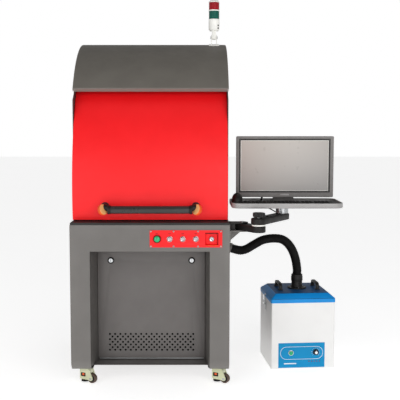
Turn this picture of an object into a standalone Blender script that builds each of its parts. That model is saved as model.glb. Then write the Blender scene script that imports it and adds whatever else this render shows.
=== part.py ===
"""Enclosed laser engraver: cabinet, visor door, swing arm with a monitor, and fume extractor."""

import math

import bmesh
import bpy
from mathutils import Matrix, Vector

# Frame: +Z up, the cabinet's front faces -Y, the floor is z = 0. Inside this file X = 0 is the
# cabinet's middle and Y = 0 its front. The root empty shifts all of it to the object's own middle.
ORIGIN_SHIFT = (-0.2893, -0.45625, 0.0)
GAP = 0.0003
SHEET = 0.0025

# Base cabinet
HALF_W = 0.400
DEPTH = 0.980
BASE_LOW = 0.082
BASE_TOP = 0.830
LEG_IN = 0.300
RECESS_TOP = 0.696
FOOT_R = 0.060
PANEL_Y = 0.158
PANEL_X = 0.279
PANEL_Z = (0.102, 0.684)
LOCK_X = 0.210
LOCK_Z = 0.6265
HOSE_PORT = (0.450, 0.6553)
PORT_WAY = Vector((0.960, 0.0, -0.280))
PORT_REACH = 0.032
DECK_TOP = 0.8425

# Chamber
WALL_X = (0.3930, 0.3968)
WALL_FRONT = 0.140
DOOR_PIVOT = (0.850, 0.980)
DOOR_R = 0.800
DOOR_HALF = 0.392
DOOR_ANGLES = (-9.4, 43.0)
HOOD_CENTRE = (0.660, 1.183)
HOOD_R = 0.593
HOOD_LIP = 33.5
HANDLE = (-0.006, 0.907)
HANDLE_R = 0.0205
HANDLE_CAP = 0.0270

# Control plate
PLATE_X = (0.000, 0.362)
PLATE_Z = (0.718, 0.804)
START_X = 0.0365
PUSH_X = (0.100, 0.165, 0.230)
KEY_X = 0.309
BUTTON_Z = 0.760
START_R = 0.0155
PUSH_R = 0.0125
KEY_R = 0.0095

# Casters
CASTER_X = 0.342
CASTER_Y = (0.100, 0.880)
TRAIL = 0.045
TRAIL_TURN = math.radians(-28)
WHEEL_R = 0.025

# Swing arm
ARM_A = (0.4646, 0.075)
ARM_B = (0.540, -0.030)
ARM_C = (0.680, 0.195)
TRAY_X = (0.4104, 0.9726)
TRAY_Y = (0.020, 0.330)
TRAY_Z = (0.910, 0.936)
TILT = (0.266, 1.100)

# Fume extractor
BOX_AT = (0.801, 0.494)
BOX_TURN = math.radians(5)
BOX_X = 0.1745
BOX_Y = 0.1735
BOX_TOP = 0.366
LID_RIM = 0.388
LID_TOP = 0.415
COLLAR_TOP = 0.4935
SWITCH_AT = (-0.066, 0.091)
SPEED_AT = (0.071, 0.093)

# Lamp
LAMP_AT = (0.334, 0.550)
LAMP_R = 0.0300
LAMP_PIVOT = 1.808

COLOURS = {
    "grey enamel": ((0.19, 0.18, 0.17), 0.5, 0.2),
    "dark enamel": ((0.05, 0.05, 0.05), 0.5, 0.2),
    "red enamel": ((0.85, 0.03, 0.04), 0.35, 0.1),
    "white enamel": ((0.80, 0.80, 0.79), 0.4, 0.1),
    "blue enamel": ((0.01, 0.24, 0.70), 0.35, 0.1),
    "cream nylon": ((0.78, 0.80, 0.62), 0.5, 0.0),
    "black plastic": ((0.015, 0.014, 0.013), 0.45, 0.0),
    "black rubber": ((0.010, 0.009, 0.008), 0.7, 0.0),
    "tan polyurethane": ((0.26, 0.18, 0.12), 0.5, 0.0),
    "green plastic": ((0.02, 0.55, 0.20), 0.3, 0.0),
    "chromed steel": ((0.80, 0.80, 0.80), 0.15, 1.0),
    "aluminium": ((0.72, 0.73, 0.74), 0.35, 1.0),
    "grey plastic": ((0.16, 0.15, 0.15), 0.5, 0.0),
    "lamp plastic": ((0.75, 0.75, 0.73), 0.3, 0.0),
    "filter felt": ((0.85, 0.84, 0.80), 0.9, 0.0),
}


def clear_scene():
    for thing in list(bpy.data.objects):
        bpy.data.objects.remove(thing)


def collection(name):
    made = bpy.data.collections.new(name)
    bpy.context.scene.collection.children.link(made)
    return made


def empty(name, location, turn=0.0):
    made = bpy.data.objects.new(name, None)
    made.location = location
    made.rotation_euler = (0, 0, turn)
    parts.objects.link(made)
    return made


def material(name):
    found = bpy.data.materials.get(name)
    if found:
        return found
    colour, roughness, metallic = COLOURS[name]
    made = bpy.data.materials.new(name)
    made.use_nodes = True
    shader = made.node_tree.nodes["Principled BSDF"]
    shader.inputs["Base Color"].default_value = (*colour, 1)
    shader.inputs["Roughness"].default_value = roughness
    shader.inputs["Metallic"].default_value = metallic
    return made


def node(name, mesh, finish, at=(0, 0, 0), rotation=(0, 0, 0), parent=None):
    made = bpy.data.objects.new(name, mesh)
    made.location = at
    made.rotation_euler = rotation
    made.parent = parent or root
    if not mesh.materials:
        mesh.materials.append(material(finish))
    parts.objects.link(made)
    return made


def mesh_of(bm, name="shape"):
    mesh = bpy.data.meshes.new(name)
    bmesh.ops.recalc_face_normals(bm, faces=bm.faces)
    bm.to_mesh(mesh)
    bm.free()
    return mesh


def box_mesh(x, y, z):
    bm = bmesh.new()
    size = Matrix.Diagonal((x[1] - x[0], y[1] - y[0], z[1] - z[0], 1))
    middle = Matrix.Translation(((x[0] + x[1]) / 2, (y[0] + y[1]) / 2, (z[0] + z[1]) / 2))
    bmesh.ops.create_cube(bm, size=1, matrix=middle @ size)
    return mesh_of(bm)


def rod_mesh(start, end, radius, sides=24):
    """A cylinder between two points."""
    start, end = Vector(start), Vector(end)
    along = end - start
    turn = along.to_track_quat("Z", "Y").to_matrix().to_4x4()
    bm = bmesh.new()
    bmesh.ops.create_cone(
        bm, cap_ends=True, segments=sides, radius1=radius,
        radius2=radius, depth=along.length,
        matrix=Matrix.Translation((start + end) / 2) @ turn,
    )
    return mesh_of(bm)


def evaluated(thing):
    """The finished mesh of an object with modifiers, or of a curve, with its caps welded."""
    bpy.context.view_layer.update()
    graph = bpy.context.evaluated_depsgraph_get()
    mesh = bpy.data.meshes.new_from_object(thing.evaluated_get(graph))
    bm = bmesh.new()
    bm.from_mesh(mesh)
    bmesh.ops.remove_doubles(bm, verts=bm.verts, dist=0.00001)
    bm.transform(thing.matrix_world)
    bmesh.ops.recalc_face_normals(bm, faces=bm.faces)
    bm.to_mesh(mesh)
    bm.free()
    bpy.data.objects.remove(thing)
    return mesh


def carve(mesh, add=(), cut=()):
    """The mesh with some meshes joined to it and others cut out of it."""
    for group, operation in ((add, "UNION"), (cut, "DIFFERENCE")):
        for other in group:
            base = bpy.data.objects.new("base", mesh)
            tool = bpy.data.objects.new("tool", other)
            for thing in (base, tool):
                cutters.objects.link(thing)
            change = base.modifiers.new("change", "BOOLEAN")
            change.operation = operation
            change.object = tool
            mesh = evaluated(base)
            bpy.data.objects.remove(tool)
    return mesh


def plate_mesh(outline, thickness, holes=(), plane="XY", at=0.0):
    """A flat outline with holes, extruded. It lies in the plane named, its middle at that height."""
    curve = bpy.data.curves.new("outline", "CURVE")
    curve.dimensions = "2D"
    curve.fill_mode = "BOTH"
    curve.extrude = thickness / 2
    for ring in (outline, *holes):
        spline = curve.splines.new("POLY")
        spline.points.add(len(ring) - 1)
        spline.use_cyclic_u = True
        for point, (u, v) in zip(spline.points, ring):
            point.co = (u, v, 0, 1)
    turns = {
        "XY": Matrix.Translation((0, 0, at)),
        "XZ": Matrix.Translation((0, at, 0)) @ Matrix.Rotation(math.pi / 2, 4, "X"),
        "YZ": Matrix.Translation((at, 0, 0)) @ Matrix(((0, 0, 1, 0), (1, 0, 0, 0), (0, 1, 0, 0), (0, 0, 0, 1))),
    }
    thing = bpy.data.objects.new("outline", curve)
    thing.matrix_world = turns[plane]
    cutters.objects.link(thing)
    return evaluated(thing)


def arc(centre, radius, start, end, steps):
    """Points along an arc, in degrees from +u towards +v."""
    points = []
    for i in range(steps + 1):
        angle = math.radians(start + (end - start) * i / steps)
        points.append((centre[0] + radius * math.cos(angle), centre[1] + radius * math.sin(angle)))
    return points


def round_rectangle(u, v, radius, steps=4):
    corners = (
        ((u[1] - radius, v[1] - radius), 0), ((u[0] + radius, v[1] - radius), 90),
        ((u[0] + radius, v[0] + radius), 180), ((u[1] - radius, v[0] + radius), 270),
    )
    return [p for centre, start in corners for p in arc(centre, radius, start, start + 90, steps)]


def capsule(a, b, radius, steps=8):
    """The outline round two points."""
    way = math.degrees(math.atan2(b[1] - a[1], b[0] - a[0]))
    return arc(b, radius, way - 90, way + 90, steps) + arc(a, radius, way + 90, way + 270, steps)


def circle(centre, radius, sides=16):
    return arc(centre, radius, 0, 360 * (sides - 1) / sides, sides - 1)


def tube_mesh(points, radius, resolution=2):
    curve = bpy.data.curves.new("tube", "CURVE")
    curve.dimensions = "3D"
    curve.bevel_depth = radius
    curve.bevel_resolution = resolution
    curve.use_fill_caps = True
    spline = curve.splines.new("POLY")
    spline.points.add(len(points) - 1)
    for place, point in zip(spline.points, points):
        place.co = (*point, 1)
    thing = bpy.data.objects.new("tube", curve)
    cutters.objects.link(thing)
    return evaluated(thing)


def smooth_route(points, spacing):
    """Evenly spaced points on a smooth curve through the route's points."""
    ends = [Vector(p) for p in (points[0], *points, points[-1])]
    fine = []
    for a, b, c, d in zip(ends, ends[1:], ends[2:], ends[3:]):
        for i in range(20):
            t = i / 20
            fine.append(0.5 * (2 * b + (c - a) * t + (2 * a - 5 * b + 4 * c - d) * t * t
                               + (3 * b - a - 3 * c + d) * t ** 3))
    fine.append(ends[-1])
    total = sum((b - a).length for a, b in zip(fine, fine[1:]))
    count = max(2, round(total / spacing))
    made, gone, want = [fine[0]], 0.0, total / count
    for a, b in zip(fine, fine[1:]):
        step = (b - a).length
        while step > 0 and gone + step >= want * len(made) and len(made) < count:
            made.append(a.lerp(b, (want * len(made) - gone) / step))
        gone += step
    return made + [fine[-1]]


def skin_mesh(rows, thickness, closed=False, capped=False):
    """Rows of points as one sheet, thickened on its inner side."""
    bm = bmesh.new()
    grid = [[bm.verts.new(p) for p in row] for row in rows]
    for low, high in zip(grid, grid[1:]):
        count = len(low)
        for i in range(count if closed else count - 1):
            j = (i + 1) % count
            bm.faces.new((low[i], low[j], high[j], high[i]))
    if capped:
        bm.faces.new(grid[-1])
    mesh = bpy.data.meshes.new("skin")
    bm.to_mesh(mesh)
    bm.free()
    return thicken(mesh, thickness)


def thicken(mesh, thickness):
    thing = bpy.data.objects.new("skin", mesh)
    cutters.objects.link(thing)
    shell = thing.modifiers.new("thickness", "SOLIDIFY")
    shell.thickness = thickness
    shell.offset = -1
    shell.use_even_offset = True
    return evaluated(thing)


def hollow_mesh(loops, thickness):
    """A box-like cover through rings of points, closed over the last ring and open at the first."""
    return skin_mesh(loops, thickness, closed=True, capped=True)


def rectangle(x, y, z):
    """A ring of four points, anticlockwise seen from above."""
    return [(x[0], y[0], z), (x[1], y[0], z), (x[1], y[1], z), (x[0], y[1], z)]


def visor_mesh(profile, half, depth, end_depth, thickness):
    """A bent sheet along X with side and end flanges. The profile holds (y, z, inward y, inward z)."""
    bm = bmesh.new()
    levels = [depth, end_depth, 0] if depth > end_depth else [depth, 0]
    grid = []
    for y, z, ny, nz in profile:
        left = [bm.verts.new((-half, y + ny * d, z + nz * d)) for d in levels]
        right = [bm.verts.new((half, y + ny * d, z + nz * d)) for d in reversed(levels)]
        grid.append(left + right)
    for low, high in zip(grid, grid[1:]):
        for i in range(len(low) - 1):
            bm.faces.new((low[i], low[i + 1], high[i + 1], high[i]))
    middle = len(levels) - 1
    for row, flip in ((grid[0], False), (grid[-1], True)):
        ring = [row[middle - 1], row[middle], row[middle + 1], row[middle + 2]]
        bm.faces.new(ring[::-1] if not flip else ring)
    mesh = bpy.data.meshes.new("visor")
    bm.to_mesh(mesh)
    bm.free()
    return thicken(mesh, thickness)


def turned_mesh(profile, steps=24):
    """A turned piece round Z. The profile runs down its outer side, top to bottom, from axis to axis."""
    mesh = bpy.data.meshes.new("profile")
    mesh.from_pydata([(r, 0, z) for r, z in profile],
                     [(i, i + 1) for i in range(len(profile) - 1)], [])
    thing = bpy.data.objects.new("turned", mesh)
    cutters.objects.link(thing)
    screw = thing.modifiers.new("turn", "SCREW")
    screw.steps = steps
    screw.render_steps = steps
    screw.use_merge_vertices = True
    screw.merge_threshold = 0.00001
    return evaluated(thing)


def base_cabinet():
    make_fascia()
    make_side_panels()
    outline = round_rectangle((-HALF_W, HALF_W), (BASE_LOW, BASE_TOP), 0.003, 1)
    node("base_back_panel", plate_mesh(outline, SHEET, plane="XZ", at=DEPTH - SHEET / 2), "grey enamel")
    make_floor()
    make_liner()
    panel = [(-PANEL_X, PANEL_Z[0]), (PANEL_X, PANEL_Z[0]), (PANEL_X, PANEL_Z[1]), (-PANEL_X, PANEL_Z[1])]
    holes = [circle((side * LOCK_X, LOCK_Z), 0.0105) for side in (-1, 1)]
    node("access_panel", plate_mesh(panel, 0.003, holes, "XZ", PANEL_Y + 0.0015), "grey enamel")
    for side, word in ((-1, "left"), (1, "right")):
        make_lock("panel_lock_" + word, side * LOCK_X)
    top = [rectangle((-0.3985, 0.3985), (0.003, 0.978), BASE_TOP + GAP),
           rectangle((-0.3985, 0.3985), (0.003, 0.978), DECK_TOP - 0.004),
           rectangle((-0.3945, 0.3945), (0.007, 0.974), DECK_TOP)]
    node("deck", hollow_mesh(top, SHEET), "dark enamel")


def make_fascia():
    """The front sheet: a header and two legs whose lower ends curve back under the cabinet."""
    low = [(FOOT_R - y, z) for y, z in arc((0, BASE_LOW + FOOT_R), FOOT_R, -90, 0, 8)]
    window_x = (PLATE_X[0] + 0.012, PLATE_X[1] - 0.012)
    window_z = (PLATE_Z[0] + 0.010, PLATE_Z[1] - 0.010)
    heights = [z for _, z in low] + [RECESS_TOP, *window_z, BASE_TOP]
    depths = [y for y, _ in low] + [0, 0, 0, 0]
    across = sorted([-HALF_W, -LEG_IN, LEG_IN, *window_x, HALF_W])
    bm = bmesh.new()
    grid = [[bm.verts.new((x, y, z)) for x in across] for y, z in zip(depths, heights)]
    for j in range(len(grid) - 1):
        for i in range(len(across) - 1):
            x = (across[i] + across[i + 1]) / 2
            z = (heights[j] + heights[j + 1]) / 2
            in_recess = abs(x) < LEG_IN and z < RECESS_TOP
            in_window = window_x[0] < x < window_x[1] and window_z[0] < z < window_z[1]
            if not in_recess and not in_window:
                bm.faces.new((grid[j][i], grid[j][i + 1], grid[j + 1][i + 1], grid[j + 1][i]))
    loose = [v for v in bm.verts if not v.link_faces]
    bmesh.ops.delete(bm, geom=loose, context="VERTS")
    mesh = bpy.data.meshes.new("fascia")
    bm.to_mesh(mesh)
    bm.free()
    node("base_fascia", thicken(mesh, SHEET), "grey enamel")


def make_side_panels():
    start = SHEET + GAP
    foot = [(FOOT_R - y * (FOOT_R - start) / FOOT_R, BASE_LOW + FOOT_R + z * (FOOT_R - start) / FOOT_R)
            for y, z in arc((0, 0), FOOT_R, -90, 0, 6)]
    outline = [(DEPTH - start, BASE_LOW + start), *foot, (start, BASE_TOP - GAP),
               (DEPTH - start, BASE_TOP - GAP)]
    left = plate_mesh(outline, SHEET, plane="YZ", at=-HALF_W + SHEET / 2)
    node("base_side_left", left, "grey enamel")
    right = plate_mesh(outline, SHEET, [circle(HOSE_PORT, 0.024)], "YZ", HALF_W - SHEET / 2)
    root_of_port = Vector((HALF_W - 0.001, *HOSE_PORT))
    collar = carve(rod_mesh(root_of_port, root_of_port + PORT_REACH * PORT_WAY, 0.028),
                   cut=[rod_mesh(root_of_port - 0.02 * PORT_WAY, root_of_port + 0.05 * PORT_WAY, 0.0205)])
    node("base_side_right", carve(right, add=[collar]), "grey enamel")


def make_floor():
    """An inverted hat of sheet, with the casters' plates welded under it."""
    section = [(-0.3965, BASE_LOW + GAP + SHEET), (-0.297, BASE_LOW + GAP + SHEET), (-0.293, 0.100),
               (0.293, 0.100),
               (0.297, BASE_LOW + GAP + SHEET), (0.3965, BASE_LOW + GAP + SHEET)]
    sheet = skin_mesh([[(x, y, z) for x, z in section] for y in (0.0655, 0.9765)], SHEET)
    pads = [box_mesh((x - 0.0345, x + 0.0345), (y - 0.0345, y + 0.0345), (0.0787, BASE_LOW + 0.0015))
            for x in (-CASTER_X, CASTER_X) for y in CASTER_Y]
    node("base_floor", carve(sheet, add=pads), "grey enamel")


def make_liner():
    """The recess's two reveals and its soffit, splayed inwards towards the access panel."""
    back_y = PANEL_Y + 0.004
    inner, mouth = PANEL_X + 0.0015, LEG_IN - GAP
    radius = FOOT_R - SHEET - GAP
    low = 0.104
    turn = math.degrees(math.asin((BASE_LOW + FOOT_R - low) / radius))
    edge = [(FOOT_R - radius * math.cos(math.radians(a)), BASE_LOW + FOOT_R - radius * math.sin(math.radians(a)))
            for a in (turn, turn / 2, 0)]

    def splay(y):
        return mouth + (inner - mouth) * (y - SHEET) / (back_y - SHEET)

    front = [(splay(y), y, z) for y, z in edge] + [(mouth, SHEET + GAP, RECESS_TOP - GAP)]
    back = [(inner, back_y, z) for z in (low, 0.125, 0.15, PANEL_Z[1] + 0.0015)]
    half = list(zip(front, back))
    left = [tuple((-x, y, z) for x, y, z in pair) for pair in half]
    rows = left + half[::-1]
    mesh = skin_mesh(rows, SHEET)
    node("recess_liner", mesh, "dark enamel")


def make_lock(name, x):
    """A quarter-turn lock: round head, barrel through the panel, and a cam behind it."""
    barrel = turned_mesh([(0, 0.008), (0.010, 0.008), (0.0125, 0.006), (0.0125, GAP), (0.0098, GAP),
                          (0.0098, -0.020), (0, -0.020)], 16)
    cam = box_mesh((-0.007, 0.007), (-0.006, 0.034), (-0.018, -0.015))
    node(name, carve(barrel, add=[cam]), "chromed steel", (x, PANEL_Y, LOCK_Z), (math.pi / 2, 0, 0))


def control_panel():
    places = [(START_X, START_R, 0.0040)] + [(x, PUSH_R, 0.0020) for x in PUSH_X] + [(KEY_X, KEY_R, 0.0025)]
    plate = plate_mesh(round_rectangle(PLATE_X, PLATE_Z, 0.002, 1), 0.002, plane="XZ", at=-0.001 - GAP)
    bezels = [rod_mesh((x, -0.001, BUTTON_Z), (x, -0.008, BUTTON_Z), r + rim, 24) for x, r, rim in places]
    bores = [rod_mesh((x, 0.010, BUTTON_Z), (x, -0.020, BUTTON_Z), r + 0.0004, 20) for x, r, _ in places]
    node("control_plate", carve(plate, add=bezels, cut=bores), "red enamel")
    names = [("start_button", START_X, "green plastic", START_R, 0.0140)]
    names += [("push_button_%d" % (i + 1), x, "chromed steel", PUSH_R, 0.0130) for i, x in enumerate(PUSH_X)]
    for name, x, finish, r, height in names:
        cap = turned_mesh([(0, height), (r - 0.002, height), (r, height - 0.002), (r, -0.012), (0, -0.012)], 20)
        node(name, cap, finish, (x, 0, BUTTON_Z), (math.pi / 2, 0, 0))
    rotor = turned_mesh([(0, 0.0095), (KEY_R - 0.001, 0.0095), (KEY_R, 0.0085),
                         (KEY_R, -0.012), (0, -0.012)], 16)
    bar = box_mesh((-0.0015, 0.0015), (-0.0075, 0.0075), (0.009, 0.0125))
    node("key_switch", carve(rotor, add=[bar]), "black plastic", (KEY_X, 0, BUTTON_Z), (math.pi / 2, 0, 0))


def casters():
    housing = caster_housing_mesh()
    wheel = turned_mesh([(0.0045, 0.0108), (0.020, 0.0108), (WHEEL_R - 0.003, 0.0110), (WHEEL_R, 0.0080),
                         (WHEEL_R, -0.0080), (WHEEL_R - 0.003, -0.0110), (0.020, -0.0108), (0.0045, -0.0108),
                         (0.0045, 0.0108)], 24)
    foot = turned_mesh([(0, 0.048), (0.005, 0.048), (0.005, 0.0145), (0.016, 0.0130), (0.021, 0.0110),
                        (0.021, 0.006), (0, 0.006)], 20)
    finishes = ((housing, "cream nylon"), (wheel, "tan polyurethane"), (foot, "black rubber"))
    for mesh, finish in finishes:
        mesh.materials.append(material(finish))
    for sx, wx in ((-1, "left"), (1, "right")):
        for y, wy in zip(CASTER_Y, ("front", "rear")):
            place = empty("caster_place_%s_%s" % (wy, wx), (sx * CASTER_X, y, 0), TRAIL_TURN)
            place.parent = root
            tag = "_%s_%s" % (wy, wx)
            node("caster_housing" + tag, housing, "cream nylon", parent=place)
            node("caster_wheel" + tag, wheel, "tan polyurethane", (TRAIL, 0, WHEEL_R),
                 (math.pi / 2, 0, 0), place)
            node("level_foot" + tag, foot, "black rubber", parent=place)


def caster_housing_mesh():
    """A nylon block on the swivel axis, with a slot for the wheel, its axle and the foot's screw hole."""
    outline = [(-0.021, 0.0784), (0.026, 0.0784), (0.052, 0.066), (0.066, 0.050), (0.073, 0.028),
               (0.066, 0.016), (0.052, 0.012), (0.034, 0.014), (0.020, 0.018), (-0.017, 0.018), (-0.021, 0.024)]
    body = plate_mesh(outline, 0.040, plane="XZ")
    slot = box_mesh((0.0175, 0.090), (-0.0123, 0.0123), (-0.010, 0.0525))
    screw_hole = rod_mesh((0, 0, 0.0), (0, 0, 0.050), 0.0058, 16)
    axle = rod_mesh((TRAIL, -0.014, WHEEL_R), (TRAIL, 0.014, WHEEL_R), 0.0040, 12)
    return carve(carve(body, cut=[slot, screw_hole]), add=[axle])


def chamber():
    hood_inner = HOOD_R - 0.0022
    top_z = HOOD_CENTRE[1] + hood_inner
    notch = HOOD_R - 0.033
    edge = arc(HOOD_CENTRE, notch, 180 - HOOD_LIP + 1, 180 - HOOD_LIP - 1.2, 1)
    edge += arc(HOOD_CENTRE, hood_inner, 180 - HOOD_LIP - 1.2, 90, 12)
    outline = [(WALL_FRONT, DECK_TOP + GAP), (WALL_FRONT, 1.452), *edge, (DEPTH - 0.0035, top_z),
               (DEPTH - 0.0035, DECK_TOP + GAP)]
    pivot = circle(DOOR_PIVOT, 0.009)
    for side, word in ((-1, "left"), (1, "right")):
        middle = side * (WALL_X[0] + WALL_X[1]) / 2
        wall = plate_mesh(outline, WALL_X[1] - WALL_X[0], [pivot], "YZ", middle)
        node("side_wall_" + word, wall, "dark enamel")
    back = box_mesh((-WALL_X[0] + GAP, WALL_X[0] - GAP), (DEPTH - 0.0065, DEPTH - 0.0040),
                    (DECK_TOP + GAP, top_z - GAP))
    node("rear_wall", back, "grey enamel")
    make_hood()
    make_door()


def make_hood():
    """The curved hood: an arc from its front lip to the top, then flat to the back."""
    profile = []
    for i in range(17):
        a = math.radians(HOOD_LIP + (90 - HOOD_LIP) * i / 16)
        profile.append((HOOD_CENTRE[0] - HOOD_R * math.cos(a), HOOD_CENTRE[1] + HOOD_R * math.sin(a),
                        math.cos(a), -math.sin(a)))
    profile.append((DEPTH, HOOD_CENTRE[1] + HOOD_R, 0, -1))
    node("canopy", visor_mesh(profile, HALF_W, 0.025, 0.025, 0.0015), "grey enamel")


def make_door():
    """The visor door, part of a cylinder about its hinge, with its arms and its handle."""
    low, high = DOOR_ANGLES
    profile = []
    for i in range(21):
        a = math.radians(low + (high - low) * i / 20)
        profile.append((DOOR_PIVOT[0] - DOOR_R * math.cos(a), DOOR_PIVOT[1] + DOOR_R * math.sin(a),
                        math.cos(a), -math.sin(a)))
    node("door_panel", visor_mesh(profile, DOOR_HALF, 0.100, 0.025, SHEET), "red enamel")
    reach = DOOR_R - 0.030
    end = (DOOR_PIVOT[0] - reach * math.cos(0.09), DOOR_PIVOT[1] + reach * math.sin(0.09))
    for side, word in ((-1, "left"), (1, "right")):
        x = side * (DOOR_HALF - SHEET - GAP - 0.002)
        bar = plate_mesh(capsule(end, DOOR_PIVOT, 0.024), 0.004, plane="YZ", at=x)
        pin = rod_mesh((x - side * 0.001, *DOOR_PIVOT), (side * (WALL_X[1] - 0.0005), *DOOR_PIVOT), 0.008, 16)
        node("door_arm_" + word, carve(bar, add=[pin]), "dark enamel")
    y, z = HANDLE
    bar = rod_mesh((-0.248, y, z), (0.252, y, z), HANDLE_R, 20)
    caps = []
    for x in (-0.2315, 0.2345):
        size = Matrix.Diagonal((0.0255, HANDLE_CAP, HANDLE_CAP, 1))
        bm = bmesh.new()
        bmesh.ops.create_uvsphere(bm, u_segments=16, v_segments=8, radius=1,
                                  matrix=Matrix.Translation((x, y, z)) @ size)
        caps.append(mesh_of(bm))
    posts = [rod_mesh((x, y, z + 0.006), (x, 0.0510, z + 0.006), 0.015, 16) for x in (-0.222, 0.227)]
    node("door_handle", carve(bar, add=[*caps, *posts]), "black plastic")


def works():
    """What the chamber and the base hold."""
    node("work_table", box_mesh((-0.22, 0.22), (0.170, 0.510), (DECK_TOP + GAP, 0.870)), "aluminium")
    node("z_column", box_mesh((-0.06, 0.06), (0.620, 0.720), (DECK_TOP + GAP, 1.550)), "aluminium")
    carriage = box_mesh((-0.050, 0.050), (0.570, 0.6195), (1.170, 1.360))
    tube = rod_mesh((0, 0.390, 1.265), (0, 0.580, 1.265), 0.036, 20)
    head = box_mesh((-0.055, 0.055), (0.280, 0.400), (1.190, 1.330))
    lens = rod_mesh((0, 0.340, 1.140), (0, 0.340, 1.200), 0.045, 24)
    node("scan_head", carve(carriage, add=[tube, head, lens]), "dark enamel")
    x, y = (-0.22, 0.02), (0.40, 0.84)
    case = [rectangle(x, y, 0.1035), rectangle(x, y, 0.260)]
    node("laser_source", hollow_mesh(case, SHEET), "dark enamel")


def signal_lamp():
    x, y = LAMP_AT
    front, back = (90 + math.degrees(math.asin((HOOD_CENTRE[0] - y + d) / HOOD_R)) for d in (0.028, -0.028))
    saddle = arc(HOOD_CENTRE, HOOD_R + GAP, front, back, 8) + arc(HOOD_CENTRE, HOOD_R + 0.004, back, front, 8)
    foot = plate_mesh(saddle, 0.056, plane="YZ", at=x)
    ears = []
    for side in (-1, 1):
        outline = [arc(HOOD_CENTRE, HOOD_R + 0.003, 90, a, 1)[1] for a in (front - 1.3, back + 1.3)]
        outline += arc((y, LAMP_PIVOT), 0.013, 0, 180, 6)
        ear = plate_mesh(outline, 0.004, plane="YZ", at=x + side * 0.0145)
        ears.append(ear)
    node("tower_foot", carve(foot, add=ears), "lamp plastic")
    tongue = plate_mesh(capsule((y, 1.846), (y, LAMP_PIVOT), 0.012, 6), 0.024, plane="YZ", at=x)
    outer, lens = LAMP_R, LAMP_R - 0.0015
    body = turned_mesh([(0, 2.0126), (outer - 0.007, 2.0126), (outer - 0.001, 2.006), (outer, 1.999), (lens, 1.998),
                        (lens, 1.958), (outer, 1.957), (outer, 1.952), (lens, 1.951), (lens, 1.909),
                        (outer, 1.908), (outer, 1.849), (outer - 0.006, 1.843), (0, 1.843)], 20)
    body.transform(Matrix.Translation((x, y, 0)))
    node("tower_lamp", carve(tongue, add=[body]), "lamp plastic")


def swing_arm():
    make_arm_bracket()
    bx, by = ARM_B
    cx, cy = ARM_C
    lower = plate_mesh(capsule(ARM_A, ARM_B, 0.035), 0.033, [circle(ARM_A, 0.0108)], "XY", 0.8135)
    washer = rod_mesh((bx, by, 0.829), (bx, by, 0.8367), 0.025, 20)
    pin = rod_mesh((bx, by, 0.829), (bx, by, 0.8720), 0.0100, 16)
    node("lower_link", carve(lower, add=[washer, pin]), "black plastic")
    upper = plate_mesh(capsule(ARM_B, ARM_C, 0.038), 0.032, [circle(ARM_B, 0.0108)], "XY", 0.853)
    node("upper_link", upper, "black plastic")
    lobes = []
    for i in range(30):
        a = math.tau * i / 30
        r = 0.0290 + 0.0040 * math.cos(5 * a)
        lobes.append((bx + r * math.cos(a), by + r * math.sin(a)))
    knob = plate_mesh(lobes, 0.0235, [circle(ARM_B, 0.0105)], "XY", 0.88475)
    node("clamp_knob", knob, "black plastic")
    make_tray(cx, cy)
    make_desk_set()


def make_arm_bracket():
    ax, ay = ARM_A
    wall = box_mesh((HALF_W + GAP, HALF_W + 0.006), (0.035, 0.115), (0.738, 0.7968))
    gusset = plate_mesh([(HALF_W + 0.004, 0.742), (ax - 0.006, 0.790), (ax - 0.006, 0.795), (HALF_W + 0.004, 0.795)],
                        0.010, plane="XZ", at=ay)
    shelf = plate_mesh([*arc(ARM_A, 0.033, -90, 90, 8), (HALF_W + 0.003, 0.108), (HALF_W + 0.003, 0.042)],
                       0.0068, plane="XY", at=0.7934)
    pin = rod_mesh((ax, ay, 0.795), (ax, ay, 0.834), 0.0100, 16)
    node("arm_bracket", carve(wall, add=[gusset, shelf, pin]), "grey enamel")


def make_tray(cx, cy):
    """A shallow pan with rounded corners, on its pivot post."""
    low, high = TRAY_Z
    outline = round_rectangle(TRAY_X, TRAY_Y, 0.050, 6)
    rings = [[(x, y, z) for x, y in outline] for z in (high, low)]
    pan = skin_mesh([r[::-1] for r in rings], 0.002, closed=True, capped=True)
    post = rod_mesh((cx, cy, 0.8693), (cx, cy, low + 0.001), 0.033, 24)
    node("tray", carve(pan, add=[post]), "aluminium")


def make_desk_set():
    floor = TRAY_Z[0] + 0.002 + GAP
    ty, tz = TILT
    base = box_mesh((0.6235, 0.7635), (0.186, 0.306), (floor, 0.918))
    neck = plate_mesh([(0.6335, 0.917), (0.7535, 0.917), (0.7385, 0.990), (0.7235, 1.098), (0.6635, 1.098),
                       (0.6485, 0.990)], 0.013, plane="XZ", at=0.2720)
    knuckle = rod_mesh((0.6635, ty, tz), (0.7235, ty, tz), 0.010, 16)
    node("monitor_stand", carve(base, add=[neck, knuckle]), "grey plastic")
    case = box_mesh((0.441, 0.946), (0.200, 0.238), (0.952, 1.2685))
    boss = box_mesh((0.6535, 0.7335), (0.237, 0.2555), (1.090, 1.110))
    node("monitor", carve(case, add=[boss]), "grey plastic")
    keys = plate_mesh([(0.040, floor), (0.180, floor), (0.180, 0.936), (0.176, 0.938), (0.042, 0.927),
                       (0.040, 0.925)], 0.479, plane="YZ", at=0.7085)
    node("keyboard", keys, "black plastic")
    make_mouse()


def make_mouse():
    """A small mat laid over the tray's rim, with the mouse on it, as one piece."""
    mat = plate_mesh(round_rectangle((0.4145, 0.4660), (0.055, 0.190), 0.006, 2), 0.003, plane="XY", at=0.9380)
    bm = bmesh.new()
    size = Matrix.Diagonal((0.030, 0.046, 0.0440, 1))
    bmesh.ops.create_uvsphere(bm, u_segments=16, v_segments=8, radius=1,
                              matrix=Matrix.Translation((0.4425, 0.118, 0.9390)) @ size)
    dome = mesh_of(bm)
    under = box_mesh((0.40, 0.48), (0.05, 0.20), (0.88, 0.9385))
    node("mouse", carve(mat, add=[carve(dome, cut=[under])]), "black plastic")


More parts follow.
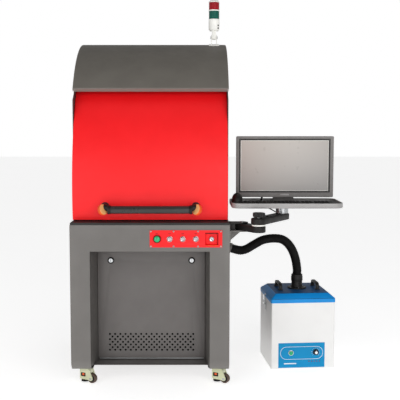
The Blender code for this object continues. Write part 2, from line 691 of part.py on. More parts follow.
def fume_extractor():
    place = empty("extractor_place", (*BOX_AT, 0), BOX_TURN)
    place.parent = root
    x, y = (-BOX_X, BOX_X), (-BOX_Y, BOX_Y)
    shell = skin_mesh([rectangle(x, y, BOX_TOP)[::-1], rectangle(x, y, 0)[::-1]], 0.002, closed=True, capped=True)
    u, v = SWITCH_AT
    hole = rod_mesh((u, -BOX_Y - 0.02, v), (u, -BOX_Y + 0.02, v), 0.0115, 16)
    node("extractor_body", carve(shell, cut=[hole]), "white enamel", parent=place)
    block = box_mesh((-0.15, 0.15), (-0.12, 0.15), (0.06, 0.26))
    node("extractor_filter", block, "filter felt", parent=place)
    rim_x, rim_y = (-BOX_X - 0.002, BOX_X + 0.002), (-BOX_Y - 0.002, BOX_Y + 0.002)
    top_x, top_y = (-BOX_X + 0.028, BOX_X - 0.028), (-BOX_Y + 0.028, BOX_Y - 0.028)
    lid = hollow_mesh([rectangle(rim_x, rim_y, BOX_TOP + GAP), rectangle(rim_x, rim_y, LID_RIM),
                       rectangle(top_x, top_y, LID_TOP)], 0.002)
    collar = turned_mesh([(0, COLLAR_TOP), (0.031, COLLAR_TOP), (0.031, 0.426), (0.034, 0.422), (0.0525, 0.422),
                          (0.0525, 0.414), (0, 0.414)], 24)
    handles = []
    bow = [(0.065, 0.4136), (0.065, 0.437), (0.052, 0.453)]
    eye = [(0.050, 0.4136), (0.050, 0.4335), (0.046, 0.438)]
    bow += [(-v, z) for v, z in bow[::-1]] + [(-v, z) for v, z in eye] + eye[::-1]
    for sx in (-0.104, 0.104):
        handles.append(plate_mesh(bow, 0.015, plane="YZ", at=sx))
    node("extractor_lid", carve(lid, add=[*handles, collar]), "blue enamel", parent=place)
    knob = turned_mesh([(0, 0.018), (0.013, 0.018), (0.016, 0.014), (0.016, GAP), (0, GAP)], 20)
    node("extractor_knob", knob, "black plastic", (SPEED_AT[0], -BOX_Y, SPEED_AT[1]),
         (math.pi / 2, 0, 0), place)
    cap = turned_mesh([(0, 0.010), (0.009, 0.010), (0.0110, 0.008), (0.0110, -0.014), (0, -0.014)], 16)
    node("extractor_button", cap, "green plastic", (u, -BOX_Y, v), (math.pi / 2, 0, 0), place)
    for side, word in ((-1, "left"), (1, "right")):
        lever = box_mesh((-0.005, 0.005), (-0.015, 0.015), (-0.006, 0.052))
        node("extractor_latch_" + word, lever, "chromed steel", (side * (BOX_X + 0.0085), 0, 0.330), parent=place)


def hose_and_cable():
    """The ribbed hose from the cabinet's port to the extractor's collar, and the monitor's lead."""
    start = Vector((HALF_W - 0.001, *HOSE_PORT)) + (PORT_REACH + 0.0006) * PORT_WAY
    route = [
        start, start + 0.030 * PORT_WAY, (0.484, 0.455, 0.6335), (0.516, 0.459, 0.641),
        (0.558, 0.463, 0.665), (0.608, 0.468, 0.690), (0.670, 0.473, 0.698), (0.721, 0.478, 0.688),
        (0.761, 0.484, 0.650), (0.788, 0.490, 0.592), (0.801, 0.494, 0.526), (0.801, 0.494, 0.4941),
    ]
    node("hose", tube_mesh(smooth_route(route, 0.030), 0.025, 3), "black rubber")
    lead = [
        (0.5775, 0.262, 0.952), (0.5772, 0.263, 0.938), (0.5768, 0.268, 0.924), (0.5775, 0.284, 0.9185),
        (0.5810, 0.306, 0.922), (0.5850, 0.320, 0.932), (0.5880, 0.330, 0.9405), (0.5910, 0.340, 0.934),
        (0.5940, 0.343, 0.918), (0.5970, 0.338, 0.902), (0.6030, 0.322, 0.896), (0.6110, 0.296, 0.891),
        (0.6220, 0.266, 0.886), (0.6360, 0.240, 0.880), (0.6480, 0.218, 0.8735),
    ]
    node("monitor_cable", tube_mesh(smooth_route(lead, 0.012), 0.0030), "black rubber")


clear_scene()
parts = collection("laser_engraver")
cutters = collection("cutters")
root = empty("object_origin", ORIGIN_SHIFT)
base_cabinet()
control_panel()
casters()
chamber()
works()
signal_lamp()
swing_arm()
fume_extractor()
hose_and_cable()
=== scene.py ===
import math

import bmesh
import bpy
from mathutils import Matrix, Vector


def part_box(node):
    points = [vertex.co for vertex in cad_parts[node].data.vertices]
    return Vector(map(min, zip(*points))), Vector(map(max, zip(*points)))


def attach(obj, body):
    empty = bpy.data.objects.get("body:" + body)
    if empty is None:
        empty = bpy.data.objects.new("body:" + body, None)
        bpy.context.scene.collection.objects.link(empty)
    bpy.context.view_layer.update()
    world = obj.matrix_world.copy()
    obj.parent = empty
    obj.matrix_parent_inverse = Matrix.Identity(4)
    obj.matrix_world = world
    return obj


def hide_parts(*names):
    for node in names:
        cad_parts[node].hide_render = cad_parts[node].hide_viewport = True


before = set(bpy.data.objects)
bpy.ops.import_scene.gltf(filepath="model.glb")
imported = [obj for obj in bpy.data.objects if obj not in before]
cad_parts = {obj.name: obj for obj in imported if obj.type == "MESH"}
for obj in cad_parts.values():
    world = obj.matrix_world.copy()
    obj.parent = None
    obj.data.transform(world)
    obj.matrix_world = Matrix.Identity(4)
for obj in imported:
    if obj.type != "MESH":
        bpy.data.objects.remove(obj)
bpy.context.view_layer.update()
print("frame loaded")

# The cabinet's own frame: X = 0 is its middle, Y = 0 its front, the floor is z = 0.
fasciaLow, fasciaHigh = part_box("base_fascia")
shift = Vector(((fasciaLow.x + fasciaHigh.x) / 2, fasciaLow.y, 0))
cabinetPlace = Matrix.Translation(shift)
sides = ((-1, "left"), (1, "right"))


def move(x, y, z):
    return Matrix.Translation((x, y, z))


def spin(angle, axis):
    return Matrix.Rotation(angle, 4, axis)


faceOn = spin(math.pi / 2, "X")  # turns a piece made along Z to look out of the front


def facing(x, y, z):
    return move(x, y, z) @ faceOn


def show(thing):
    bpy.context.scene.collection.objects.link(thing)


cabinet = {"depth": 0.980, "panelDepth": 0.158}


def fromBmesh(bm, matrix=None):
    bmesh.ops.recalc_face_normals(bm, faces=bm.faces)
    mesh = bpy.data.meshes.new("shape")
    bm.to_mesh(mesh)
    bm.free()
    if matrix:
        mesh.transform(matrix)
    return mesh


def applied(thing):
    # the finished mesh of a helper object, which is then removed
    show(thing)
    bpy.context.view_layer.update()
    mesh = bpy.data.meshes.new_from_object(thing.evaluated_get(bpy.context.evaluated_depsgraph_get()))
    mesh.transform(thing.matrix_world)
    bpy.data.objects.remove(thing)
    bm = bmesh.new()
    bm.from_mesh(mesh)
    bmesh.ops.remove_doubles(bm, verts=bm.verts, dist=0.00001)
    return fromBmesh(bm)


def block(x, y, z, edge=0.001, steps=2, matrix=None):
    bm = bmesh.new()
    size = Matrix.Diagonal((x[1] - x[0], y[1] - y[0], z[1] - z[0], 1))
    middle = move((x[0] + x[1]) / 2, (y[0] + y[1]) / 2, (z[0] + z[1]) / 2)
    bmesh.ops.create_cube(bm, size=1, matrix=middle @ size)
    if edge:
        bmesh.ops.bevel(bm, geom=bm.edges[:], offset=edge, segments=steps, profile=0.5, affect="EDGES")
    return fromBmesh(bm, matrix)


def arc(centre, radius, start, end, steps):
    turns = [math.radians(start + (end - start) * i / steps) for i in range(steps + 1)]
    return [(centre[0] + radius * math.cos(a), centre[1] + radius * math.sin(a)) for a in turns]


def roundRect(u, v, radius, steps=6):
    corners = (((u[1] - radius, v[1] - radius), 0), ((u[0] + radius, v[1] - radius), 90),
               ((u[0] + radius, v[0] + radius), 180), ((u[1] - radius, v[0] + radius), 270))
    return [p for centre, start in corners for p in arc(centre, radius, start, start + 90, steps)]


def circle(centre, radius, sides=24):
    return arc(centre, radius, 0, 360 * (sides - 1) / sides, sides - 1)


def capsule(a, b, radius, steps=12):
    way = math.degrees(math.atan2(b[1] - a[1], b[0] - a[0]))
    return arc(b, radius, way - 90, way + 90, steps) + arc(a, radius, way + 90, way + 270, steps)


def slab(outline, span, holes=(), plane="XY", edge=0.0006):
    # a flat outline with holes, from span[0] to span[1] along the plane's normal, its edges rounded
    curve = bpy.data.curves.new("outline", "CURVE")
    curve.dimensions = "2D"
    curve.fill_mode = "BOTH"
    curve.bevel_depth = edge
    curve.bevel_resolution = 2 if edge > 0.0005 else 1
    curve.offset = -edge
    curve.extrude = abs(span[1] - span[0]) / 2 - edge
    for ring in (outline, *holes):
        spline = curve.splines.new("POLY")
        spline.points.add(len(ring) - 1)
        spline.use_cyclic_u = True
        for point, (u, v) in zip(spline.points, ring):
            point.co = (u, v, 0, 1)
    at = (span[0] + span[1]) / 2
    turns = {"XY": move(0, 0, at),
             "XZ": facing(0, at, 0),
             "YZ": move(at, 0, 0) @ Matrix(((0, 0, 1, 0), (1, 0, 0, 0), (0, 1, 0, 0), (0, 0, 0, 1)))}
    thing = bpy.data.objects.new("outline", curve)
    thing.matrix_world = turns[plane]
    return applied(thing)


def grown(span, by):
    return (span[0] - by, span[1] + by)


def panel(u, v, corner, span, edge=0.0006, window=None, steps=6):
    # an upright plate with rounded corners; window holds the (u, v, corner, steps) of an opening
    holes = [roundRect(*window)] if window else []
    return slab(roundRect(u, v, corner, steps), span, holes, "XZ", edge)


def turned(profile, steps=40, matrix=None, lobes=None):
    # a piece turned round Z; the profile holds (radius, height), and lobes scales a ring's radius by angle
    bm = bmesh.new()
    rings = []
    for r, z in profile:
        if r < 1e-6:
            rings.append([bm.verts.new((0, 0, z))])
            continue
        ring = []
        for i in range(steps):
            a = math.tau * i / steps
            k = lobes(a) if lobes else 1
            ring.append(bm.verts.new((r * k * math.cos(a), r * k * math.sin(a), z)))
        rings.append(ring)
    for low, high in zip(rings, rings[1:]):
        for i in range(steps):
            j = (i + 1) % steps
            if len(low) == 1 and len(high) == 1:
                continue
            if len(low) == 1:
                bm.faces.new((low[0], high[j], high[i]))
            elif len(high) == 1:
                bm.faces.new((low[i], low[j], high[0]))
            else:
                bm.faces.new((low[i], low[j], high[j], high[i]))
    if profile[0] == profile[-1]:
        bmesh.ops.remove_doubles(bm, verts=bm.verts, dist=1e-6)
    return fromBmesh(bm, matrix)


def mirrored(half):
    # a closed profile from its upper half
    return half + [(r, -z) for r, z in half[::-1]] + half[:1]


def stud(flat, height, radius, shoulder, place, sides=20, foot=0.0):
    # a low head: a flat top, a chamfer down to the shoulder, and straight sides to the foot
    return turned([(0, height), (flat, height), (radius, shoulder), (radius, foot), (0, foot)], sides, place)


def loft(rings, capped=True):
    bm = bmesh.new()
    grid = [[bm.verts.new(p) for p in ring] for ring in rings]
    for low, high in zip(grid, grid[1:]):
        for i in range(len(low)):
            j = (i + 1) % len(low)
            bm.faces.new((low[i], low[j], high[j], high[i]))
    if capped:
        bm.faces.new(grid[0])
        bm.faces.new(grid[-1])
    return fromBmesh(bm)


def tube(points, radius, sides=20):
    # a round tube on points; radius is a number or one number for each point
    points = [Vector(p) for p in points]
    radii = radius if isinstance(radius, list) else [radius] * len(points)
    ways = [(points[min(i + 1, len(points) - 1)] - points[max(i - 1, 0)]).normalized() for i in range(len(points))]
    across = ways[0].orthogonal().normalized()
    rings = []
    for point, way, r in zip(points, ways, radii):
        across = (across - way * across.dot(way)).normalized()
        other = way.cross(across)
        rings.append([point + r * (math.cos(a) * across + math.sin(a) * other)
                      for a in (math.tau * i / sides for i in range(sides))])
    return loft(rings)


def bend(corners, radius, steps=8):
    # a route through corner points, each corner rounded
    made = [Vector(corners[0])]
    for a, b, c in zip(corners, corners[1:], corners[2:]):
        a, b, c = Vector(a), Vector(b), Vector(c)
        start, end = b + (a - b).normalized() * radius, b + (c - b).normalized() * radius
        for i in range(steps + 1):
            t = i / steps
            made.append((1 - t) ** 2 * start + 2 * t * (1 - t) * b + t * t * end)
    return made + [Vector(corners[-1])]


def smoothRoute(points, spacing):
    ends = [Vector(p) for p in (points[0], *points, points[-1])]
    fine = []
    for a, b, c, d in zip(ends, ends[1:], ends[2:], ends[3:]):
        for i in range(20):
            t = i / 20
            fine.append(0.5 * (2 * b + (c - a) * t + (2 * a - 5 * b + 4 * c - d) * t * t
                               + (3 * b - a - 3 * c + d) * t ** 3))
    fine.append(ends[-1])
    total = sum((b - a).length for a, b in zip(fine, fine[1:]))
    count = max(2, round(total / spacing))
    made, gone, want = [fine[0]], 0.0, total / count
    for a, b in zip(fine, fine[1:]):
        step = (b - a).length
        while step > 0 and gone + step >= want * len(made) and len(made) < count:
            made.append(a.lerp(b, (want * len(made) - gone) / step))
        gone += step
    return made + [fine[-1]]


def thickened(mesh, thickness):
    thing = bpy.data.objects.new("sheet", mesh)
    shell = thing.modifiers.new("thickness", "SOLIDIFY")
    shell.thickness = thickness
    shell.offset = -1
    shell.use_even_offset = True
    return applied(thing)


def piece(name, parts, body, replaced=(), place=cabinetPlace, sharp=32):
    # one object of several meshes, each with its own material; it rides on a body
    bm = bmesh.new()
    made = bpy.data.meshes.new(name)
    for mesh, finish in parts:
        if finish.name not in made.materials:
            made.materials.append(finish)
        start = len(bm.faces)
        bm.from_mesh(mesh)
        bm.faces.ensure_lookup_table()
        for face in bm.faces[start:]:
            face.material_index = made.materials.find(finish.name)
            face.smooth = True
        bpy.data.meshes.remove(mesh)
    bm.to_mesh(made)
    bm.free()
    made.transform(place)
    made.set_sharp_from_angle(angle=math.radians(sharp))
    thing = bpy.data.objects.new(name, made)
    show(thing)
    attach(thing, body)
    if replaced:
        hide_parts(*replaced)
    return thing


def dress(names, finish, edge):
    # a CAD node that stays: its finish, and a small radius on its edges
    for name in names:
        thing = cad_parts[name]
        thing.data.materials.clear()
        thing.data.materials.append(finish)
        thing.data.shade_smooth()
        weld = thing.modifiers.new("weld", "WELD")
        weld.merge_threshold = 0.00002
        soft = thing.modifiers.new("edges", "BEVEL")
        soft.width = edge
        soft.segments = 2
        soft.limit_method = "ANGLE"
        soft.angle_limit = math.radians(33)
        soft.harden_normals = True
        even = thing.modifiers.new("normals", "WEIGHTED_NORMAL")  # broad flats stay flat round their holes
        even.keep_sharp = False
        even.weight = 90


def linear(hexColour):
    values = [int(hexColour[i:i + 2], 16) / 255 for i in (1, 3, 5)]
    return (*[v / 12.92 if v <= 0.04045 else ((v + 0.055) / 1.055) ** 2.4 for v in values], 1)


def addNode(tree, kind, settings=None, links=None):
    made = tree.nodes.new("ShaderNode" + kind)
    for name, value in (settings or {}).items():
        if isinstance(name, int) or name in made.inputs:
            made.inputs[name].default_value = value
        else:
            setattr(made, name, value)
    for name, source in (links or {}).items():
        tree.links.new(source, made.inputs[name])
    return made


def surface(name, look):
    # one finish from its settings: colour with mottle, pale edges that stand for wear and are also a painted
    # highlight, uneven gloss and a fine grain, sizes in mm
    made = bpy.data.materials.new(name)
    made.use_nodes = True
    tree = made.node_tree
    shader = tree.nodes["Principled BSDF"]
    shader.inputs["Metallic"].default_value = look.get("metallic", 0.0)
    if "glow" in look:
        shader.inputs["Emission Color"].default_value = (1, 1, 1, 1)
        shader.inputs["Emission Strength"].default_value = look["glow"]
    if "ior" in look:
        shader.inputs["IOR"].default_value = look["ior"]
    for socket, key in (("Coat Weight", "coat"), ("Subsurface Weight", "scatter"), ("Sheen Weight", "sheen"),
                        ("Specular IOR Level", "shine")):
        if key in look:
            shader.inputs[socket].default_value = look[key]
    spot = addNode(tree, "TexCoord").outputs["Object"]
    stretch = look.get("brushed", (1, 1, 1))
    where = addNode(tree, "Mapping", {"Scale": stretch}, {"Vector": spot}).outputs["Vector"]
    mottle = addNode(tree, "TexNoise", {"Scale": 1000 / look.get("mottleMm", 120), "Detail": 4.0}, {"Vector": where})
    base = linear(look["colour"])
    second = linear(look.get("second", look["colour"]))
    patch = addNode(tree, "MapRange", {"From Min": 0.35, "From Max": 0.65}, {"Value": mottle.outputs["Fac"]})
    tone = addNode(tree, "Mix", {"data_type": "RGBA", 6: base, 7: second}, {0: patch.outputs["Result"]})
    colour = tone.outputs[2]
    # pale convex edges: wear, and also a painted highlight along the edges
    if look.get("edgeWearAndHighlight"):
        edge = addNode(tree, "NewGeometry").outputs["Pointiness"]
        edgeWearAndHighlightMask = addNode(tree, "MapRange", {"From Min": 0.53, "From Max": 0.62, "To Max": look.get("edgeWearAndHighlightStrength", 0.5)},
                      {"Value": edge})
        edgeWearAndHighlight = addNode(tree, "Mix", {"data_type": "RGBA", 7: linear(look["edgeWearAndHighlight"])},
                       {0: edgeWearAndHighlightMask.outputs["Result"], 6: colour})
        colour = edgeWearAndHighlight.outputs[2]
    tree.links.new(colour, shader.inputs["Base Color"])
    rough = look["roughness"]
    gloss = addNode(tree, "TexNoise", {"Scale": 1000 / look.get("glossMm", 35), "Detail": 3.0}, {"Vector": where})
    uneven = look.get("spread", 0.04)
    spread = addNode(tree, "MapRange", {"From Min": 0.3, "From Max": 0.7, "To Min": rough - uneven,
                                        "To Max": rough + uneven}, {"Value": gloss.outputs["Fac"]})
    tree.links.new(spread.outputs["Result"], shader.inputs["Roughness"])
    grain = addNode(tree, "TexNoise", {"Scale": 1000 / look.get("grainMm", 1.5), "Detail": 2.0}, {"Vector": where})
    depth = look.get("reliefMm", 0.05) / 1000
    relief = addNode(tree, "Bump", {"Strength": look.get("relief", 0.15), "Distance": depth},
                     {"Height": grain.outputs["Fac"]})
    tree.links.new(relief.outputs["Normal"], shader.inputs["Normal"])
    return made


# Powder coat is sprayed dry and baked, which leaves a faint orange peel about 1.5 mm across and a soft gloss.
coat = {"ior": 1.5, "grainMm": 1.6, "reliefMm": 0.06, "relief": 0.35, "spread": 0.05}
# Moulded plastics carry a fine spark-eroded grain, drawn at 0.8 mm so that it shows.
moulded = {"ior": 1.49, "grainMm": 0.8, "reliefMm": 0.05, "relief": 0.3, "spread": 0.05}
# Metals keep the default index; turning or brushing leaves stretched lines.
metal = {"metallic": 1.0, "grainMm": 1.0, "reliefMm": 0.02, "relief": 0.25}

looks = {
    # Sprayed steel: warm greys with a broad soft highlight, paler along the edges, which stands for wear and is also
    # a painted highlight.
    "greyPowderCoat": dict(coat, colour="#716e6b", second="#6d6a67", roughness=0.48, edgeWearAndHighlight="#a3a09c",
                           shine=0.4),
    "legPowderCoat": dict(coat, colour="#6b6765", second="#676361", roughness=0.48, edgeWearAndHighlight="#8f8c88",
                          shine=0.4),
    "linerPowderCoat": dict(coat, colour="#5b5855", second="#565350", roughness=0.52, shine=0.4),
    "hoodPowderCoat": dict(coat, colour="#6a665f", second="#646059", roughness=0.55, edgeWearAndHighlight="#8f8a85"),
    # The red stays strong up to its highlight, as a pigment-rich topcoat does.
    "redPowderCoat": dict(coat, colour="#ff151c", second="#fb1219", roughness=0.45, shine=0.35),
    # Blacks and the chamber's dark grey drink the light and show only their edges; the white stays clean.
    "blackPowderCoat": dict(coat, colour="#2a2a2b", second="#252526", roughness=0.5, edgeWearAndHighlight="#5a5754",
                            shine=0.3),
    "chamberPowderCoat": dict(coat, colour="#4a4644", second="#433f3d", roughness=0.5),
    "whitePowderCoat": dict(coat, colour="#edecea", second="#e8e7e5", roughness=0.40, edgeWearAndHighlight="#f2f1f0"),
    # Black mouldings: a dull sheen that separates them from the rubber, which has next to none.
    "mouldedBlackNylon": dict(moulded, colour="#131111", second="#191716", roughness=0.45, edgeWearAndHighlight="#36332f",
                              shine=0.3),
    "satinDarkTube": dict(moulded, colour="#2a2827", second="#252322", roughness=0.30, shine=0.6),
    # Bright end caps and thumbwheels, glossy enough to look wet at their rims.
    "mouldedOrangeAbs": dict(moulded, colour="#f4631b", second="#ea5a15", roughness=0.36),
    "mouldedCreamAbs": dict(moulded, colour="#f0b070", second="#e8a663", roughness=0.42),
    # Pale green-cream nylon housings and brown tyres, both matt from rolling dust.
    "mouldedCasterNylon": dict(moulded, colour="#d3d6b6", second="#c7cba6", roughness=0.48, edgeWearAndHighlight="#ecedd8"),
    "castPolyurethane": dict(moulded, colour="#5d4a3e", second="#4f3f35", roughness=0.5),
    # Rubber is nearly black, with gloss only where it is stretched over a rib.
    "vulcanisedRubber": dict(moulded, colour="#060404", second="#0a0808", roughness=0.6, spread=0.08,
                             shine=0.2),
    # Plated and bare metals: mirror-like chrome, greyer zinc, and long lines in the brushed aluminium.
    "chromePlate": dict(metal, colour="#d9dbdd", second="#cfd1d3", roughness=0.12, spread=0.04),
    "zincPlate": dict(metal, colour="#b9bbbc", second="#a9abad", roughness=0.32),
    "brushedAluminium": dict(metal, colour="#c4c6c8", second="#b8babc", roughness=0.34, brushed=(0.04, 1, 1)),
    "satinTraySteel": dict(coat, colour="#9b9998", second="#949291", roughness=0.38, metallic=0.2,
                           edgeWearAndHighlight="#d5d4d2"),
    # Monitor and keyboard plastics: a mid grey with a coarse mottle, and darker greys in their gaps.
    "mouldedGreyAbs": dict(moulded, colour="#7d7a78", second="#767371", roughness=0.45, edgeWearAndHighlight="#8d8a88",
                           shine=0.35, mottleMm=14),
    "mouldedDarkAbs": dict(moulded, colour="#211f1e", second="#1c1a19", roughness=0.4, shine=0.3),
    "mouldedKeyAbs": dict(moulded, colour="#131111", second="#181615", roughness=0.5, shine=0.25),
    # Lamp plastics: a white shell, and lenses that scatter a little light inside.
    "mouldedWhitePolycarbonate": dict(moulded, colour="#fbfaf5", second="#f6f5ef", roughness=0.32),
    "redLensPolycarbonate": dict(moulded, colour="#a0041a", second="#8c0316", roughness=0.2, shine=0.3,
                                 scatter=0.1),
    "greenLensPolycarbonate": dict(moulded, colour="#005a4c", second="#004c40", roughness=0.2, shine=0.3,
                                   scatter=0.1),
    # Buttons and rings that have to be found at a glance: saturated and shiny.
    "greenButtonAbs": dict(moulded, colour="#0cb472", second="#09a868", roughness=0.22, coat=0.4),
    "darkRedAnodised": dict(metal, colour="#8e1a20", second="#7d161b", roughness=0.3, metallic=0.6),
    # The extractor's blues: a bright moulding, the same blue made darker on the top plate as painted shade, and a
    # printed foil with white ink.
    "blueMouldedAbs": dict(moulded, colour="#0092e4", second="#008cdc", roughness=0.42, shine=0.25,
                           edgeWearAndHighlight="#49a5dc", edgeWearAndHighlightStrength=0.4),
    "blueMouldedAbsPaintedShade": dict(moulded, colour="#15558c", second="#124b7c", roughness=0.5, shine=0.25),
    "bluePrintedFoil": dict(moulded, colour="#0090c8", second="#008bc1", roughness=0.45, shine=0.25),
    "whiteScreenInk": dict(moulded, colour="#eef1f2", second="#e8ebec", roughness=0.5),
    # Inside pieces: rough fibrous felt, black anodised parts and coated glass.
    "pressedFelt": dict(moulded, colour="#e3e0d6", second="#d3cfc2", roughness=0.95, mottleMm=6,
                        grainMm=1.2, reliefMm=0.6, relief=0.8, sheen=0.3),
    "anodisedBlack": dict(metal, colour="#3a3938", second="#302f2e", roughness=0.38, metallic=0.7),
    "groundLensGlass": dict(colour="#2c3f58", second="#26384f", roughness=0.06, coat=1.0, ior=1.52,
                            spread=0.02),
}
mat = {name: surface(name, look) for name, look in looks.items()}


def screenWithPaintedReflection():
    # LCD film behind matt glass with a painted reflection: a pale warm highlight painted at its top left that falls
    # off to a cooler grey
    made = surface("mattScreenPaintedReflection", dict(colour="#a9a6a4", roughness=0.30, ior=1.5, spread=0.03, relief=0.05))
    tree = made.node_tree
    shader = tree.nodes["Principled BSDF"]
    spot = addNode(tree, "TexCoord").outputs["Object"]
    part = addNode(tree, "SeparateXYZ", {}, {"Vector": spot})
    low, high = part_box("monitor")
    side = addNode(tree, "MapRange", {"From Min": low.x, "From Max": high.x, "To Min": 0.5, "To Max": 0.0},
                   {"Value": part.outputs["X"]})
    rise = addNode(tree, "MapRange", {"From Min": low.z, "From Max": high.z, "To Min": 0.0, "To Max": 0.5},
                   {"Value": part.outputs["Z"]})
    both = addNode(tree, "Math", {"operation": "ADD"}, {0: side.outputs["Result"], 1: rise.outputs["Result"]})
    tone = addNode(tree, "ValToRGB", {}, {"Fac": both.outputs["Value"]})
    paintedReflectionRamp = tone.color_ramp
    paintedReflectionRamp.elements[0].color = linear("#9d9a99")
    paintedReflectionRamp.elements[1].color = linear("#c6beb6")
    tree.links.new(tone.outputs["Color"], shader.inputs["Base Color"])
    return made


mat["mattScreenPaintedReflection"] = screenWithPaintedReflection()
zinc, chrome, blackNylon, rubber = (mat[name] for name in ("zincPlate", "chromePlate", "mouldedBlackNylon",
                                                           "vulcanisedRubber"))
keyAbs, darkAbs, redCoat = (mat[name] for name in ("mouldedKeyAbs", "mouldedDarkAbs", "redPowderCoat"))
print("materials made")

cameraPlace = {"at": (0.201, -4.0538, 1.3262), "pitch": 84.774, "lens": 73.8, "shiftX": 0.025}
camera = bpy.data.objects.new("camera", bpy.data.cameras.new("camera"))
camera.location = shift + Vector(cameraPlace["at"])
camera.rotation_euler = (math.radians(cameraPlace["pitch"]), 0, 0)
camera.data.lens = cameraPlace["lens"]
camera.data.sensor_width = 36
camera.data.shift_x = cameraPlace["shiftX"]
show(camera)
bpy.context.scene.camera = camera

world = bpy.data.worlds.new("studio")
world.use_nodes = True
soft = world.node_tree.nodes["Background"]
soft.inputs["Color"].default_value = (1, 1, 1, 1)
white = addNode(world.node_tree, "Background", {"Color": (1, 1, 1, 1), "Strength": 1.0})
way = addNode(world.node_tree, "TexCoord").outputs["Generated"]
rise = addNode(world.node_tree, "SeparateXYZ", {}, {"Vector": way})
overhead = addNode(world.node_tree, "MapRange",  # the room is dimmer overhead than round the sides
                   {"From Min": 0.30, "From Max": 0.95, "To Min": 0.50, "To Max": 0.14}, {"Value": rise.outputs["Z"]})
world.node_tree.links.new(overhead.outputs["Result"], soft.inputs["Strength"])
seen = addNode(world.node_tree, "LightPath")
backdrop = addNode(world.node_tree, "MixShader", {}, {0: seen.outputs["Is Camera Ray"], 1: soft.outputs[0],
                                                      2: white.outputs[0]})
world.node_tree.links.new(backdrop.outputs[0], world.node_tree.nodes["World Output"].inputs["Surface"])
bpy.context.scene.world = world
bpy.context.scene.view_settings.view_transform = "Standard"

lights = [("key", (1.6, -4.6, 1.9), 3.0, 62), ("fill", (-2.6, -4.0, 1.6), 2.6, 34),
          ("top", (0.0, -0.6, 4.6), 3.0, 10)]
for name, at, size, power in lights:
    lamp = bpy.data.objects.new(name + "Light", bpy.data.lights.new(name + "Light", "AREA"))
    lamp.data.size = size
    lamp.data.energy = power
    lamp.location = at
    lamp.rotation_euler = (Vector((0, 0, 0.9)) - Vector(at)).to_track_quat("-Z", "Y").to_euler()
    show(lamp)

floorMesh = bpy.data.meshes.new("floor")
floorMesh.from_pydata([(-30, -30, 0), (30, -30, 0), (30, 30, 0), (-30, 30, 0)], [], [(0, 1, 2, 3)])
floorMesh.materials.append(surface("paleStudioFloor", {"colour": "#fbfbfb", "second": "#f9f9f9", "roughness": 0.8,
                                                       "mottleMm": 900, "relief": 0.0, "glow": 0.62}))
floor = bpy.data.objects.new("floor", floorMesh)
show(floor)

hose = {"radius": 0.025, "groove": 0.0019, "ribPitch": 0.0075, "stepsPerRib": 5, "sides": 36}
portWay = Vector((0.960, 0, -0.280))
hoseStart = Vector((0.399, 0.450, 0.6553)) + 0.0326 * portWay
hoseRoute = [hoseStart, hoseStart + 0.030 * portWay, (0.484, 0.455, 0.6335), (0.516, 0.459, 0.641),
             (0.558, 0.463, 0.665), (0.608, 0.468, 0.690), (0.670, 0.473, 0.698), (0.721, 0.478, 0.688),
             (0.761, 0.484, 0.650), (0.788, 0.490, 0.592), (0.801, 0.494, 0.526), (0.801, 0.494, 0.4941)]
leadRoute = [(0.5775, 0.262, 0.952), (0.5772, 0.263, 0.938), (0.5768, 0.268, 0.924), (0.5775, 0.284, 0.9185),
             (0.5810, 0.306, 0.922), (0.5850, 0.320, 0.932), (0.5880, 0.330, 0.9405), (0.5910, 0.340, 0.934),
             (0.5940, 0.343, 0.918), (0.5970, 0.338, 0.902), (0.6030, 0.322, 0.896), (0.6110, 0.296, 0.891),
             (0.6220, 0.266, 0.886), (0.6360, 0.240, 0.880), (0.6480, 0.218, 0.8735)]


hosePath = smoothRoute(hoseRoute, hose["ribPitch"] / hose["stepsPerRib"])
ribs = []
for i in range(len(hosePath)):
    turn = math.tau * i / hose["stepsPerRib"]
    ribs.append(hose["radius"] - hose["groove"] * (0.5 - 0.5 * math.cos(turn)))
hosePiece = piece("ribbedHose", [(tube(hosePath, ribs, hose["sides"]), rubber)], "cabinet",
                  ["hose"], sharp=80)
hoseLine = [shift + p for p in smoothRoute(hoseRoute, 0.010)]
leadPath = smoothRoute(leadRoute, 0.003)
leadPiece = piece("monitorLead", [(tube(leadPath, 0.0030, 12), rubber)], "desk",
                  ["monitor_cable"], sharp=60)

dress(["base_fascia"], mat["greyPowderCoat"], 0.0020)
dress(["base_side_left", "base_side_right", "base_back_panel"], mat["legPowderCoat"], 0.0007)
dress(["base_floor"], mat["legPowderCoat"], 0.0012)
dress(["recess_liner"], mat["linerPowderCoat"], 0.0007)
dress(["deck"], mat["blackPowderCoat"], 0.0010)
dress(["side_wall_left", "side_wall_right", "rear_wall"], mat["chamberPowderCoat"], 0.0007)

access = {"x": 0.279, "z": (0.102, 0.684), "lockX": 0.210, "lockZ": 0.6265, "lockHole": 0.0105,
          "ventPitch": 0.0273, "ventRows": 7, "ventRise": 0.0141, "ventLow": 0.152, "ventRadius": 0.0054,
          "ventCount": 17}


